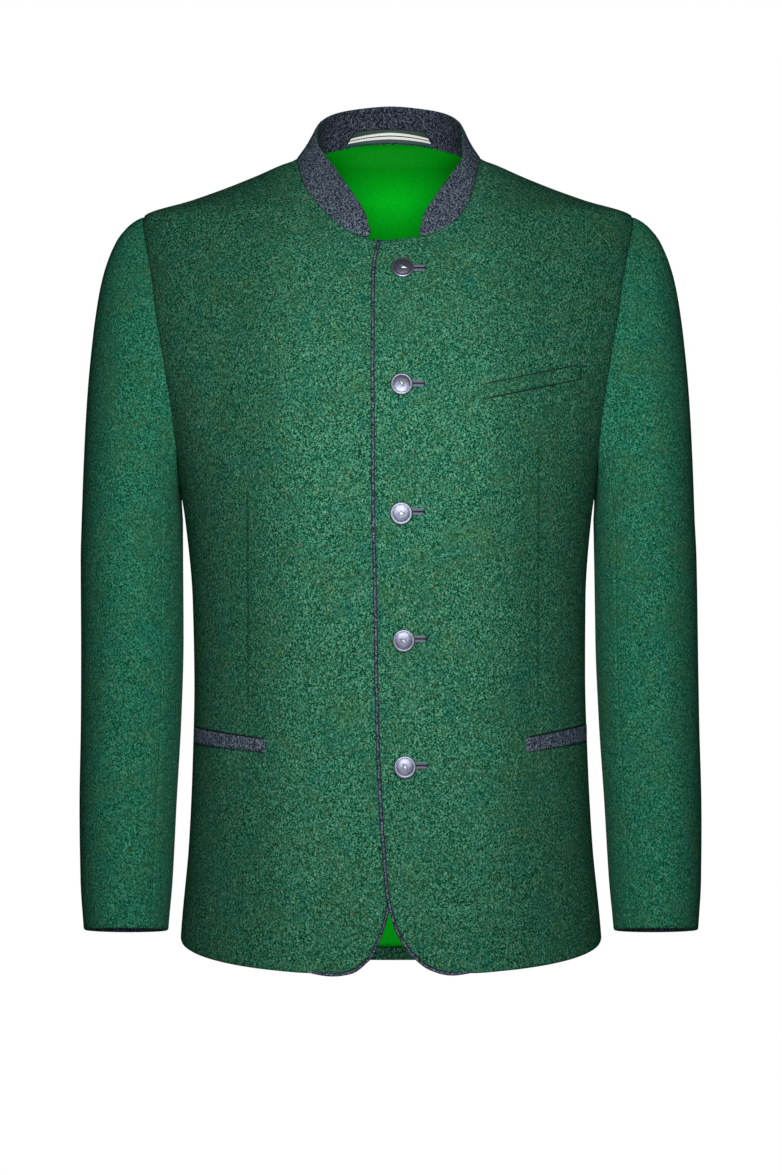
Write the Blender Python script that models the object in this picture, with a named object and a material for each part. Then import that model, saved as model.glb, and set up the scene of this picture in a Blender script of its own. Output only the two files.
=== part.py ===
"""Man's green wool Tracht jacket with a grey stand collar, as worn, empty inside.

Sizes are in millimetres and become metres where the meshes are made. +Z is up, the front faces -Y,
and the wearer's right is at -X. The origin lies midway between the two side neck points.
"""

import math

import bpy
import numpy as np

MM = 0.001

# Cloth and gaps
WALL = 2.4
COLLAR_WALL = 2.6
LINING_WALL = 1.0
FACING_WALL = 1.2
SEAM_GAP = 0.34
COLLAR_GAP = 0.8
SLEEVE_GAP = 0.42
LAY_GAP = 0.4
RIBBON_GAP = 1.3
LAP_GAP = 0.6

# Body: half width, and depth to the front and to the back of the side line, at each height
ROUNDNESS = 2.25
SIDE_Y = 5.0
BODY_COLUMNS = ("z", "half_width", "front", "back")
BODY = (
    (24.0, 62.0, 13.0, 67.0),
    (10.0, 76.0, 13.0, 67.5),
    (0.0, 84.7, 15.0, 68.0),
    (-6.0, 99.5, 22.0, 71.0),
    (-17.3, 124.2, 34.0, 76.5),
    (-28.5, 151.2, 44.0, 81.5),
    (-39.6, 181.9, 53.0, 86.5),
    (-54.7, 227.0, 65.0, 92.5),
    (-64.0, 230.0, 72.0, 96.0),
    (-91.0, 231.0, 90.0, 105.0),
    (-138.0, 231.0, 113.0, 115.0),
    (-185.0, 224.0, 130.5, 119.5),
    (-234.0, 211.0, 143.0, 119.5),
    (-280.0, 198.5, 147.0, 117.0),
    (-307.0, 193.4, 147.0, 115.0),
    (-337.0, 188.8, 145.5, 112.0),
    (-412.0, 182.7, 136.0, 103.5),
    (-486.0, 181.8, 131.0, 101.5),
    (-560.0, 183.7, 132.0, 109.0),
    (-635.0, 187.4, 134.5, 118.0),
    (-709.0, 194.4, 135.0, 123.0),
    (-770.0, 199.0, 134.5, 125.0),
)
# The whole jacket leans a few millimetres to one side
LEAN_COLUMNS = ("z", "x")
LEAN = (
    (60.0, 0.0),
    (0.0, -1.5),
    (-50.0, -2.2),
    (-200.0, -3.2),
    (-330.0, -2.2),
    (-450.0, -0.9),
    (-600.0, 0.0),
    (-770.0, 0.7),
)

# Hem, side seam, neck and shoulder
HEM_SIDE_Z = -725.5
HEM_FRONT_DROP = 22.0
HEM_BACK_DROP = 33.5
UNDERARM_Z = -307.0
SIDE_SEAM_TURN = (98.0, 107.0)
SHOULDER_TIP_Z = -54.7
BACK_NECK_RISE = 21.0
NECK_COLUMNS = ("z", "half_width")
NECK = (
    (0.0, 84.7),
    (-14.0, 83.6),
    (-33.6, 77.0),
    (-50.5, 67.0),
    (-65.0, 54.0),
    (-75.5, 38.7),
    (-80.0, 25.5),
)
NECK_SHIFT = 6.2
NECK_SHIFT_Z = (-16.0, -66.0)
TOP_EDGE_Z = -84.5

# Armhole: an egg, narrow at the shoulder
ARMHOLE_MIDDLE_Y = SIDE_Y
ARMHOLE_FRONT = 60.0
ARMHOLE_BACK = 63.0
EGG = (0.98, 0.24, 0.20)

# Front edges: x of the cut edge of each front at each height, down to the middle of the round corner
EDGE_COLUMNS = ("z", "x")
LEFT_EDGE = (
    (-84.5, -9.0), (-96.0, -12.4), (-127.0, -14.4), (-190.0, -14.4), (-330.0, -13.8), (-427.0, -11.7),
    (-501.0, -10.8), (-569.0, -8.6), (-638.0, -4.3), (-672.0, -1.4), (-690.0, 1.7), (-704.0, 6.0),
    (-718.0, 13.3), (-727.0, 19.5),
)
LEFT_CORNER = ((19.5, -727.0), (25.0, -732.2), (33.0, -738.5), (44.0, -743.6), (57.0, -745.6))
LEFT_HEM_FROM = 74.0
RIGHT_EDGE = (
    (-84.5, 26.0), (-300.0, 26.0), (-470.0, 25.0), (-560.0, 20.5), (-620.0, 12.0), (-660.0, 3.5),
    (-690.0, -4.3), (-710.0, -10.0), (-723.0, -14.3), (-731.0, -19.3),
)
RIGHT_CORNER = ((-19.3, -731.0), (-27.0, -738.7), (-37.5, -744.2), (-48.5, -746.2), (-60.0, -746.2))
RIGHT_HEM_FROM = -80.0
LAP_FROM = 46.0
LAP_FULL = 18.0

# Sleeve: outline of the cap from the shoulder tip, then the tube down to the cuff
CAP_COLUMNS = ("drop", "out")
CAP = (
    (0.0, 0.0), (1.9, 4.6), (7.2, 12.9), (12.8, 18.5), (18.4, 23.2), (24.0, 26.6), (40.7, 33.9),
    (59.0, 39.4), (78.0, 43.2), (115.0, 48.3), (170.0, 53.4), (230.0, 56.6), (282.0, 58.5),
)
TUBE_COLUMNS = ("z", "outside", "inside", "middle_y", "half_depth")
TUBE = (
    (-337.0, 285.5, 191.3, 8.0, 65.0),
    (-374.0, 286.9, 191.6, 8.5, 63.5),
    (-449.0, 287.4, 192.0, 9.0, 60.5),
    (-523.0, 287.8, 194.4, 5.0, 58.0),
    (-598.0, 288.8, 198.6, -3.0, 55.0),
    (-672.0, 287.4, 202.3, -12.0, 52.5),
    (-718.0, 284.0, 206.0, -18.5, 51.0),
    (-740.0, 283.0, 207.0, -20.0, 50.5),
)
CUFF_Z = -717.0
CUFF_SLANT = 6.5

# Collar: top edge beside the seam points, from the back to the end
COLLAR_COLUMNS = ("share", "half_width", "y", "z")
COLLAR_TOP = (
    (0.0, 0.0, 66.0, 56.0),
    (0.15, 36.0, 60.5, 52.0),
    (0.27, 56.0, 44.0, 45.5),
    (0.36, 65.5, 24.0, 36.5),
    (0.44, 68.5, 8.0, 28.0),
    (0.54, 68.0, -8.0, 15.0),
    (0.63, 65.0, -19.0, 3.0),
    (0.74, 54.0, -35.0, -15.0),
    (0.85, 38.5, -53.0, -38.0),
    (0.94, 26.2, -69.0, -60.0),
    (1.0, 23.2, -79.0, -77.0),
)

# Buttons: middle of each one
BUTTON_COLUMNS = ("x", "z")
BUTTONS = ((11.0, -112.0), (10.0, -218.6), (9.6, -333.6), (11.8, -447.4), (13.0, -561.0))
BUTTON_SIDES = 16
BUTTON_COLUMNS_TURNED = ("radius", "height")
BUTTON_PROFILE = (
    (0.0, 0.4),
    (2.6, 0.4),
    (2.6, 2.3),
    (9.4, 2.5),
    (10.1, 3.3),
    (9.8, 4.4),
    (8.6, 4.9),
    (7.4, 4.5),
    (3.6, 5.0),
    (0.0, 5.2),
)

# Meshes: how many pieces each edge is cut into
FLAT_STEPS = 2
NECK_STEPS = 6
BACK_NECK_STEPS = 4
SHOULDER_STEPS = 6
ARMHOLE_STEPS = 11
SEAM_STEPS = 15
CAP_STEPS = 9
TUBE_STEPS = 12
COLLAR_STEPS = 3
RING_SAMPLES = 129
CUT_RISING = False

COLOURS = {
    "wool": ((0.045, 0.16, 0.095, 1.0), 0.9),
    "grey_wool": ((0.055, 0.07, 0.095, 1.0), 0.9),
    "satin": ((0.0, 0.2, 0.005, 1.0), 0.4),
    "ribbon": ((0.35, 0.42, 0.38, 1.0), 0.6),
    "pewter": ((0.4, 0.42, 0.45, 1.0), 0.35),
}


# Curves through the tables

def smooth_curve(xs, ys):
    """A smooth curve through the rows of a table that never swings past them."""
    order = np.argsort(xs)
    x = np.asarray(xs, float)[order]
    y = np.asarray(ys, float)[order]
    run = np.diff(x)
    rise = np.diff(y) / run
    slope = np.zeros(len(x))
    slope[0] = rise[0]
    slope[-1] = rise[-1]
    for i in range(1, len(x) - 1):
        if rise[i - 1] * rise[i] > 0.0:
            a = 2.0 * run[i] + run[i - 1]
            b = run[i] + 2.0 * run[i - 1]
            slope[i] = (a + b) / (a / rise[i - 1] + b / rise[i])

    def value(at):
        at = np.clip(at, x[0], x[-1])
        k = np.clip(np.searchsorted(x, at) - 1, 0, len(run) - 1)
        t = (at - x[k]) / run[k]
        return (
            (2 * t**3 - 3 * t**2 + 1) * y[k]
            + (t**3 - 2 * t**2 + t) * run[k] * slope[k]
            + (3 * t**2 - 2 * t**3) * y[k + 1]
            + (t**3 - t**2) * run[k] * slope[k + 1]
        )

    return value


def column_curve(table, names, along, wanted):
    rows = np.array(table)
    return smooth_curve(rows[:, names.index(along)], rows[:, names.index(wanted)])


half_width = column_curve(BODY, BODY_COLUMNS, "z", "half_width")
front_depth = column_curve(BODY, BODY_COLUMNS, "z", "front")
back_depth = column_curve(BODY, BODY_COLUMNS, "z", "back")
lean = column_curve(LEAN, LEAN_COLUMNS, "z", "x")
neck_half = column_curve(NECK, NECK_COLUMNS, "z", "half_width")


def ease(t):
    t = min(max(t, 0.0), 1.0)
    return t * t * (3.0 - 2.0 * t)


def unit(vector):
    return vector / max(np.linalg.norm(vector), 1e-12)


# Body surface: level rings, turned from the front middle (0) to the back middle (180)

POWER = 2.0 / ROUNDNESS
TURNS = np.linspace(0.0, math.pi, RING_SAMPLES)


def ring_xy(z, turn):
    side = np.sin(turn) ** POWER
    front = np.abs(np.cos(turn)) ** POWER
    depth = np.where(np.cos(turn) > 0.0, -front_depth(z) * front, back_depth(z) * front)
    return half_width(z) * side, SIDE_Y + depth


RINGS = {}


def ring_lengths(z):
    key = round(float(z), 3)
    if key not in RINGS:
        x, y = ring_xy(key, TURNS)
        steps = np.hypot(np.diff(x), np.diff(y))
        RINGS[key] = np.concatenate([[0.0], np.cumsum(steps)])
    return RINGS[key]


def along_of_turn(z, turn):
    return float(np.interp(turn, TURNS, ring_lengths(z)))


def turn_of_x(z, x):
    return math.asin(min(max(x / float(half_width(z)), 0.0), 1.0) ** (1.0 / POWER))


def along_of_x(z, x):
    """Distance along the ring from the front middle to a point of the front at this x, with its sign."""
    return math.copysign(along_of_turn(z, turn_of_x(z, abs(x))), x)


def body_point(side, along, z):
    """Point of the body on one side (-1 right, 1 left); a negative distance lies across the middle."""
    turn = float(np.interp(abs(along), ring_lengths(z), TURNS))
    x, y = ring_xy(z, turn)
    return np.array([side * math.copysign(float(x), along) + float(lean(z)), float(y), z])


def body_normal(side, along, z):
    step = 0.6
    top = min(z + step, 23.9)
    across = body_point(side, along + step, z) - body_point(side, along - step, z)
    high = body_point(side, along * share_at(top, z), top)
    low = body_point(side, along * share_at(z - step, z), z - step)
    up = high - low
    return unit(side * np.cross(across, up))


def share_at(other, z):
    return ring_lengths(other)[-1] / ring_lengths(z)[-1]


def armhole(turn):
    """(y, z) of the armhole at an angle from its top, 0 to 180 down the front and on to 360 up the back."""
    rise = 0.5 * (SHOULDER_TIP_Z - UNDERARM_Z)
    c = math.cos(turn)
    egg = EGG[0] - EGG[1] * c - EGG[2] * c * c
    reach = ARMHOLE_FRONT if math.sin(turn) > 0.0 else ARMHOLE_BACK
    return ARMHOLE_MIDDLE_Y - reach * math.sin(turn) * egg, UNDERARM_Z + rise * (1.0 + c)


def armhole_along(turn):
    y, z = armhole(turn)
    depth = (SIDE_Y - y) / float(front_depth(z)) if y < SIDE_Y else (SIDE_Y - y) / float(back_depth(z))
    cosine = math.copysign(abs(depth) ** (1.0 / POWER), depth)
    return along_of_turn(z, math.acos(cosine)), z


def armhole_point(side, turn):
    along, z = armhole_along(turn)
    return body_point(side, along, z)


def hem_z(turn):
    c = math.cos(turn)
    return HEM_SIDE_Z - (HEM_FRONT_DROP * c if c > 0.0 else HEM_BACK_DROP * abs(c) ** 1.2)


def hem_at_turn(turn):
    z = hem_z(turn)
    return along_of_turn(z, turn), z


def side_seam_turn(share):
    """Turn of the side seam, from the underarm (0) to the hem (1)."""
    start = turn_at_armhole_bottom()
    return start + (math.radians(SIDE_SEAM_TURN[1]) - start) * ease(share)


def turn_at_armhole_bottom():
    along, z = armhole_along(math.pi)
    return float(np.interp(along, ring_lengths(z), TURNS))


# Outlines of the body panels, as (distance along the ring, height) pairs

def spread(curve, steps):
    """Points at equal distances along a curve given as a list of pairs."""
    points = np.array(curve, float)
    lengths = np.concatenate([[0.0], np.cumsum(np.hypot(*np.diff(points, axis=0).T))])
    wanted = np.linspace(0.0, lengths[-1], steps + 1)
    return np.stack([np.interp(wanted, lengths, points[:, k]) for k in range(2)], axis=1)


def shifted_neck(side, z):
    """x of the neck seam at a height, measured towards the panel's own side."""
    start, end = NECK_SHIFT_Z
    return float(neck_half(z)) + side * NECK_SHIFT * ease((z - start) / (end - start))


def neck_curve(side):
    """Neck seam of a front, from the collar's end up to the side neck point."""
    curve = []
    for z in np.linspace(NECK[-1][0], 0.0, 33):
        turn = turn_of_x(z, shifted_neck(side, z)) if z < -1.0 else 0.5 * math.pi
        if -1.0 > z > -8.0:
            blend = ease((z + 8.0) / 7.0)
            turn = turn * (1.0 - blend) + 0.5 * math.pi * blend
        curve.append((along_of_turn(z, turn), z))
    return curve


def shoulder_curve():
    """Shoulder seam, from the side neck point to the shoulder tip."""
    return [(along_of_turn(z, 0.5 * math.pi), z) for z in np.linspace(0.0, SHOULDER_TIP_Z, 33)]


def back_neck_curve():
    """Neck seam of a back, from the centre to the side neck point."""
    curve = []
    for turn in np.linspace(math.pi, 0.5 * math.pi, 33):
        z = BACK_NECK_RISE * abs(math.cos(turn)) ** 1.5
        curve.append((along_of_turn(z, turn), z))
    return curve


def armhole_curve(start, end, steps):
    return [armhole_along(turn) for turn in np.linspace(start, end, steps + 1)]


def side_seam_curve():
    """Side seam, from the hem up to the underarm."""
    bottom = hem_z(math.radians(SIDE_SEAM_TURN[1]))
    curve = []
    for share in np.linspace(1.0, 0.0, SEAM_STEPS + 1):
        z = UNDERARM_Z + (bottom - UNDERARM_Z) * share
        curve.append((along_of_turn(z, side_seam_turn(share)), z))
    return curve


def own(side, x, z):
    """An x in the room as the distance along the ring towards the panel's own side."""
    return along_of_x(z, side * (x - float(lean(z))))


def front_bounds(side):
    """The four sides of a front: hem, seam side, top and front edge."""
    edge_rows, corner, hem_from = (
        (LEFT_EDGE, LEFT_CORNER, LEFT_HEM_FROM) if side > 0 else (RIGHT_EDGE, RIGHT_CORNER, RIGHT_HEM_FROM)
    )
    edge_x = column_curve(edge_rows, EDGE_COLUMNS, "z", "x")
    low = edge_rows[-1][0]
    edge = [(own(side, float(edge_x(z)), z), z) for z in np.linspace(low, TOP_EDGE_Z, 81)]
    edge = spread(edge, ARMHOLE_STEPS + SEAM_STEPS)
    hem = [(own(side, x, z), z) for x, z in corner]
    start = turn_of_x(HEM_SIDE_Z - HEM_FRONT_DROP, abs(hem_from))
    hem += [hem_at_turn(turn) for turn in np.linspace(start, math.radians(SIDE_SEAM_TURN[1]), 41)]
    hem = spread(hem, FLAT_STEPS + NECK_STEPS + SHOULDER_STEPS)
    neck = neck_curve(side)
    flat = spread([tuple(edge[-1]), neck[0]], FLAT_STEPS)
    top = np.concatenate([flat, spread(neck, NECK_STEPS)[1:], spread(shoulder_curve(), SHOULDER_STEPS)[1:]])
    seam = np.array(side_seam_curve() + armhole_curve(math.pi, 0.0, ARMHOLE_STEPS)[1:])
    return hem, seam, top, edge


def back_bounds():
    """The four sides of a back, with distances measured from the centre back."""
    hem = [hem_at_turn(turn) for turn in np.linspace(math.pi, math.radians(SIDE_SEAM_TURN[1]), 41)]
    seam = np.array(side_seam_curve() + armhole_curve(math.pi, 2.0 * math.pi, ARMHOLE_STEPS)[1:])
    top = np.concatenate(
        [spread(back_neck_curve(), BACK_NECK_STEPS), spread(shoulder_curve(), SHOULDER_STEPS)[1:]]
    )
    centre = [(ring_lengths(z)[-1], z) for z in np.linspace(hem[0][1], BACK_NECK_RISE, 81)]
    sides = [np.array(hem), seam, top, np.array(centre)]
    for pairs in sides:
        pairs[:, 0] = [ring_lengths(z)[-1] - along for along, z in pairs]
    sides[0] = spread(sides[0], BACK_NECK_STEPS + SHOULDER_STEPS)
    sides[3] = spread(sides[3], ARMHOLE_STEPS + SEAM_STEPS)
    return sides


def filled(hem, seam, top, edge):
    """A grid of pairs between four sides, rows from the hem up and columns from the edge to the seam."""
    rows = len(edge)
    columns = len(hem)
    grid = np.zeros((rows, columns, 2))
    for i in range(rows):
        v = i / (rows - 1)
        for j in range(columns):
            u = j / (columns - 1)
            across = (1 - u) * edge[i] + u * seam[i]
            up = (1 - v) * hem[j] + v * top[j]
            corners = (
                (1 - u) * (1 - v) * hem[0] + u * (1 - v) * hem[-1] + (1 - u) * v * top[0] + u * v * top[-1]
            )
            grid[i, j] = across + up - corners
    return grid


class Panel:
    """A cut piece: a grid of points on its outer face and the direction out of the cloth at each."""

    def __init__(self, name, points, normals, wall, material, gap=SEAM_GAP):
        self.name = name
        self.gap = gap
        self.points = points
        self.normals = normals
        self.wall = wall
        self.material = material


def lap_depth(side, along):
    if side > 0:
        return 0.0
    return (WALL + LAP_GAP) * ease((LAP_FROM - along) / (LAP_FROM - LAP_FULL))


def front_panel(side, name):
    grid = filled(*front_bounds(side))
    points = np.zeros(grid.shape[:2] + (3,))
    normals = np.zeros_like(points)
    for i, j in np.ndindex(*grid.shape[:2]):
        along, z = grid[i, j]
        normals[i, j] = body_normal(side, along, z)
        points[i, j] = body_point(side, along, z) - normals[i, j] * lap_depth(side, along)
    return Panel(name, points, normals, WALL, "wool")


def back_panel(side, name):
    grid = filled(*back_bounds())
    points = np.zeros(grid.shape[:2] + (3,))
    normals = np.zeros_like(points)
    for i, j in np.ndindex(*grid.shape[:2]):
        from_centre, z = grid[i, j]
        along = ring_lengths(z)[-1] - from_centre
        normals[i, j] = body_normal(side, along, z)
        points[i, j] = body_point(side, along, z)
    return Panel(name, points, normals, WALL, "wool")


# Sleeves: a cap that rolls out of the armhole, then a tube

cap_rows = np.array(CAP)
cap_lengths = np.concatenate([[0.0], np.cumsum(np.hypot(*np.diff(cap_rows, axis=0).T))])
cap_down = smooth_curve(cap_lengths / cap_lengths[-1], cap_rows[:, 0] / cap_rows[-1, 0])
cap_out = smooth_curve(cap_lengths / cap_lengths[-1], cap_rows[:, 1] / cap_rows[-1, 1])
tube_outside = column_curve(TUBE, TUBE_COLUMNS, "z", "outside")
tube_inside = column_curve(TUBE, TUBE_COLUMNS, "z", "inside")
tube_middle = column_curve(TUBE, TUBE_COLUMNS, "z", "middle_y")
tube_half = column_curve(TUBE, TUBE_COLUMNS, "z", "half_depth")


def tube_point(side, turn, z):
    middle = 0.5 * (float(tube_outside(z)) + float(tube_inside(z)))
    half = 0.5 * (float(tube_outside(z)) - float(tube_inside(z)))
    x = side * (middle + half * math.cos(turn)) + float(lean(z))
    return np.array([x, float(tube_middle(z)) - float(tube_half(z)) * math.sin(turn), z])


def sleeve_point(side, turn, length):
    """Length 0 is the armhole, 1 the top of the tube and 2 the cuff."""
    if length > 1.0:
        start = TUBE[0][0]
        middle_y = float(tube_middle(CUFF_Z))
        end = CUFF_Z + CUFF_SLANT * math.sin(turn)
        return tube_point(side, turn, start + (end - start) * (length - 1.0))
    low = tube_point(side, turn, TUBE[0][0])
    high = armhole_point(side, turn)
    out = float(cap_out(length))
    down = float(cap_down(length))
    under = (0.5 - 0.5 * math.cos(turn)) ** 4
    return high + (low - high) * np.array([out + (down - out) * under, out, down])


def sleeve_normal(side, turn, length):
    a = max(length - 0.004, 0.0)
    b = min(length + 0.004, 2.0)
    around = sleeve_point(side, turn + 0.01, length) - sleeve_point(side, turn - 0.01, length)
    down = sleeve_point(side, turn, b) - sleeve_point(side, turn, a)
    return unit(side * np.cross(around, down))


def sleeve_rows():
    cap = np.linspace(0.0, 1.0, CAP_STEPS + 1) ** 1.25
    tube = np.linspace(1.0, 2.0, TUBE_STEPS + 1)[1:]
    return np.concatenate([cap, tube])


def sleeve_panel(side, name, first, last):
    """Columns run from one armhole step to another, 0 at the top, up to 11 down the front."""
    rows = sleeve_rows()
    columns = range(first, last + 1)
    points = np.zeros((len(rows), len(columns), 3))
    normals = np.zeros_like(points)
    for i, length in enumerate(rows):
        for k, column in enumerate(columns):
            turn = math.pi * column / ARMHOLE_STEPS
            points[i, k] = sleeve_point(side, turn, length)
            normals[i, k] = sleeve_normal(side, turn, length)
    return Panel(name, points, normals, WALL, "wool", SLEEVE_GAP)


# Collar: stands on the neck seam

def collar_panel(front_right, back_right, back_left, front_left):
    low = np.array(COLLAR_TOP)
    share_to = {name: smooth_curve(low[:, 0], low[:, k]) for k, name in enumerate(COLLAR_COLUMNS)}
    halves = []
    for side, front, back in ((-1, front_right, back_right), (1, front_left, back_left)):
        first = FLAT_STEPS
        base = np.concatenate(
            [
                back.points[-1, : BACK_NECK_STEPS + 1],
                front.points[-1, first : first + NECK_STEPS][::-1],
            ]
        )
        lengths = np.concatenate([[0.0], np.cumsum(np.linalg.norm(np.diff(base, axis=0), axis=1))])
        columns = []
        for point, share in zip(base, lengths / lengths[-1]):
            z = float(share_to["z"](share))
            half = float(share_to["half_width"](share))
            x = side * half + NECK_SHIFT * ease((share - 0.5) / 0.22) + float(lean(z))
            top = np.array([x, float(share_to["y"](share)), z])
            steps = np.linspace(0.0, 1.0, COLLAR_STEPS + 1)[:, None]
            columns.append(point + (top - point) * steps)
        halves.append(np.stack(columns, axis=1))
    points = np.concatenate([halves[0][:, ::-1], halves[1][:, 1:]], axis=1)
    across = np.gradient(points, axis=1)
    up = np.gradient(points, axis=0)
    normals = np.cross(up, across)
    normals /= np.linalg.norm(normals, axis=2)[:, :, None]
    return Panel("collar_stand", points, normals, COLLAR_WALL, "grey_wool", COLLAR_GAP)


# Seams: neighbours share their points, lean their cut edges to each other and stand a hair apart

def border_of(panel):
    rows, columns = panel.points.shape[:2]
    return [(i, j) for i in range(rows) for j in range(columns) if i in (0, rows - 1) or j in (0, columns - 1)]


def inward(points, i, j):
    """Directions along the cloth, away from each border that this point is on."""
    rows, columns = points.shape[:2]
    ways = []
    if i in (0, rows - 1):
        inner = points[1 if i == 0 else rows - 2, j] - points[i, j]
        edge = points[i, min(j + 1, columns - 1)] - points[i, max(j - 1, 0)]
        ways.append(unit(inner - unit(edge) * inner.dot(unit(edge))))
    if j in (0, columns - 1):
        inner = points[i, 1 if j == 0 else columns - 2] - points[i, j]
        edge = points[min(i + 1, rows - 1), j] - points[max(i - 1, 0), j]
        ways.append(unit(inner - unit(edge) * inner.dot(unit(edge))))
    return ways


def join_seams(panels):
    entries = [(panel, i, j) for panel in panels for i, j in border_of(panel)]
    places = np.array([panel.points[i, j] for panel, i, j in entries])
    ways = np.array([panel.normals[i, j] for panel, i, j in entries])
    moves = []
    for k, (panel, i, j) in enumerate(entries):
        near = np.linalg.norm(places - places[k], axis=1) < 0.05
        mates = [m for m in np.flatnonzero(near) if entries[m][0] is not panel]
        normal = ways[k].copy()
        match = 1.0
        for mate in mates:
            agree = float(ways[k].dot(ways[mate]))
            normal += max(0.0, 0.5 * (1.0 + agree)) * ways[mate]
            match = min(match, max(agree, 0.0))
        shift = sum(inward(panel.points, i, j)) - ways[k] * (1.0 - match)
        moves.append((unit(normal), shift * 0.5 * panel.gap))
    for (panel, i, j), (normal, shift) in zip(entries, moves):
        panel.normals[i, j] = normal
        panel.points[i, j] = panel.points[i, j] + shift


# Solids

materials = {}


def material(name):
    if name not in materials:
        made = bpy.data.materials.new(name)
        made.use_nodes = True
        shader = made.node_tree.nodes["Principled BSDF"]
        shader.inputs["Base Color"].default_value = COLOURS[name][0]
        shader.inputs["Roughness"].default_value = COLOURS[name][1]
        made.diffuse_color = COLOURS[name][0]
        materials[name] = made
    return materials[name]


def solid(name, vertices, faces, material_name):
    mesh = bpy.data.meshes.new(name)
    mesh.from_pydata([tuple(np.array(v) * MM) for v in vertices], [], faces)
    mesh.validate()
    for face in mesh.polygons:
        face.use_smooth = True
    own_material = material(material_name).copy()
    own_material.name = name + "_" + material_name
    mesh.materials.append(own_material)
    made = bpy.data.objects.new(name, mesh)
    bpy.context.scene.collection.objects.link(made)
    return made


def wall_solid(name, outer, inner, material_name, closed=False, turned=0):
    """A closed wall between two grids of points; a closed one goes round in its columns.

    Each cell is cut the same way on both faces, and the other way in the first turned columns.
    """
    rows, columns = outer.shape[:2]
    count = rows * columns
    vertices = list(outer.reshape(-1, 3)) + list(inner.reshape(-1, 3))
    last = columns if closed else columns - 1
    faces = []
    for i in range(rows - 1):
        for j in range(last):
            k = (j + 1) % columns
            a, b, c, d = i * columns + j, i * columns + k, (i + 1) * columns + k, (i + 1) * columns + j
            pair = ((a, b, d), (b, c, d)) if (j < turned) == CUT_RISING else ((a, b, c), (a, c, d))
            for face in pair:
                faces.append(face)
                faces.append(tuple(k + count for k in face[::-1]))
    for j in range(last):
        k = (j + 1) % columns
        top = (rows - 1) * columns
        faces.append((j + count, k + count, k, j))
        faces.append((top + j, top + k, top + k + count, top + j + count))
    if not closed:
        for i in range(rows - 1):
            a, b = i * columns, (i + 1) * columns
            faces.append((a, b, b + count, a + count))
            a, b = a + columns - 1, b + columns - 1
            faces.append((b, a, a + count, b + count))
    middle = outer[rows // 2, columns // 2]
    across = outer[rows // 2, columns // 2] - outer[rows // 2, columns // 2 - 1]
    up = outer[rows // 2, columns // 2] - outer[rows // 2 - 1, columns // 2]
    outward = middle - inner[rows // 2, columns // 2]
    if np.cross(across, up).dot(outward) < 0.0:
        faces = [face[::-1] for face in faces]
    return solid(name, vertices, faces, material_name)


def panel_solid(panel):
    inner = panel.points - panel.normals * panel.wall
    return wall_solid(panel.name, panel.points, inner, panel.material)


def turned_solid(name, middle, axis, profile, sides, material_name):
    """A body turned round an axis; the profile starts and ends on it."""
    across = unit(np.cross(axis, np.array([0.0, 0.0, 1.0])))
    up = np.cross(across, axis)
    vertices = [middle + axis * profile[0][1]]
    for radius, height in profile[1:-1]:
        for k in range(sides):
            angle = 2.0 * math.pi * k / sides
            spoke = across * math.cos(angle) + up * math.sin(angle)
            vertices.append(middle + axis * height + spoke * radius)
    vertices.append(middle + axis * profile[-1][1])
    faces = []
    rings = len(profile) - 2
    for k in range(sides):
        n = (k + 1) % sides
        faces.append((0, 1 + k, 1 + n))
        for r in range(rings - 1):
            a, b = 1 + r * sides, 1 + (r + 1) * sides
            faces.append((a + k, b + k, b + n, a + n))
        top = 1 + (rings - 1) * sides
        faces.append((top + n, top + k, len(vertices) - 1))
    if across.dot(np.cross(up, axis)) > 0.0:
        faces = [face[::-1] for face in faces]
    return solid(name, vertices, faces, material_name)


# Trims, made from the points of what they lie on

RIBBON_COLUMNS = ("height", "half_width")
RIBBON = ((2.0, 43.0), (12.4, 35.0), (13.8, 33.0))
RIBBON_WALL = 0.8
PIPING_HALF_WIDTH = 1.6
PIPING_HALF_DEPTH = 1.35
PIPING_SIDES = 8
RIGHT_PIPING_FROM_Z = -560.0
PIPING_HEM_STEPS = 3
WELT_WALL = 1.7
WELT_STEPS = 8
WELT_COLUMNS = (
    "name",
    "side",
    "inner_x",
    "outer_x",
    "inner_top",
    "inner_bottom",
    "outer_top",
    "outer_bottom",
    "material",
)
WELTS = (
    ("welt_pocket_right", -1, -113.0, -180.5, -537.6, -549.0, -529.5, -543.5, "grey_wool"),
    ("welt_pocket_left", 1, 123.0, 180.5, -536.5, -549.0, -527.0, -541.5, "grey_wool"),
    ("welt_breast", 1, 80.4, 172.5, -219.0, -231.5, -198.0, -211.0, "wool"),
)
FACING_HEIGHT_ROWS = 2


def lining_panel(back_right, back_left, name):
    columns = []
    for back, order in ((back_right, range(9, 0, -1)), (back_left, range(1, 10))):
        laid = back.points - back.normals * (WALL + LAY_GAP)
        low = laid[0] * 0.55 + laid[1] * 0.45
        high = laid[-1] * 0.9 + laid[-2] * 0.1
        rows = np.concatenate([low[None], laid[1:-1], high[None]])
        ways = np.concatenate([back.normals[:1], back.normals[1:-1], back.normals[-1:]])
        columns += [(rows[:, j], ways[:, j]) for j in order]
    points = np.stack([column[0] for column in columns], axis=1)
    normals = np.stack([column[1] for column in columns], axis=1)
    return wall_solid(name, points, points - normals * LINING_WALL, "satin", turned=points.shape[1] // 2)


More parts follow.
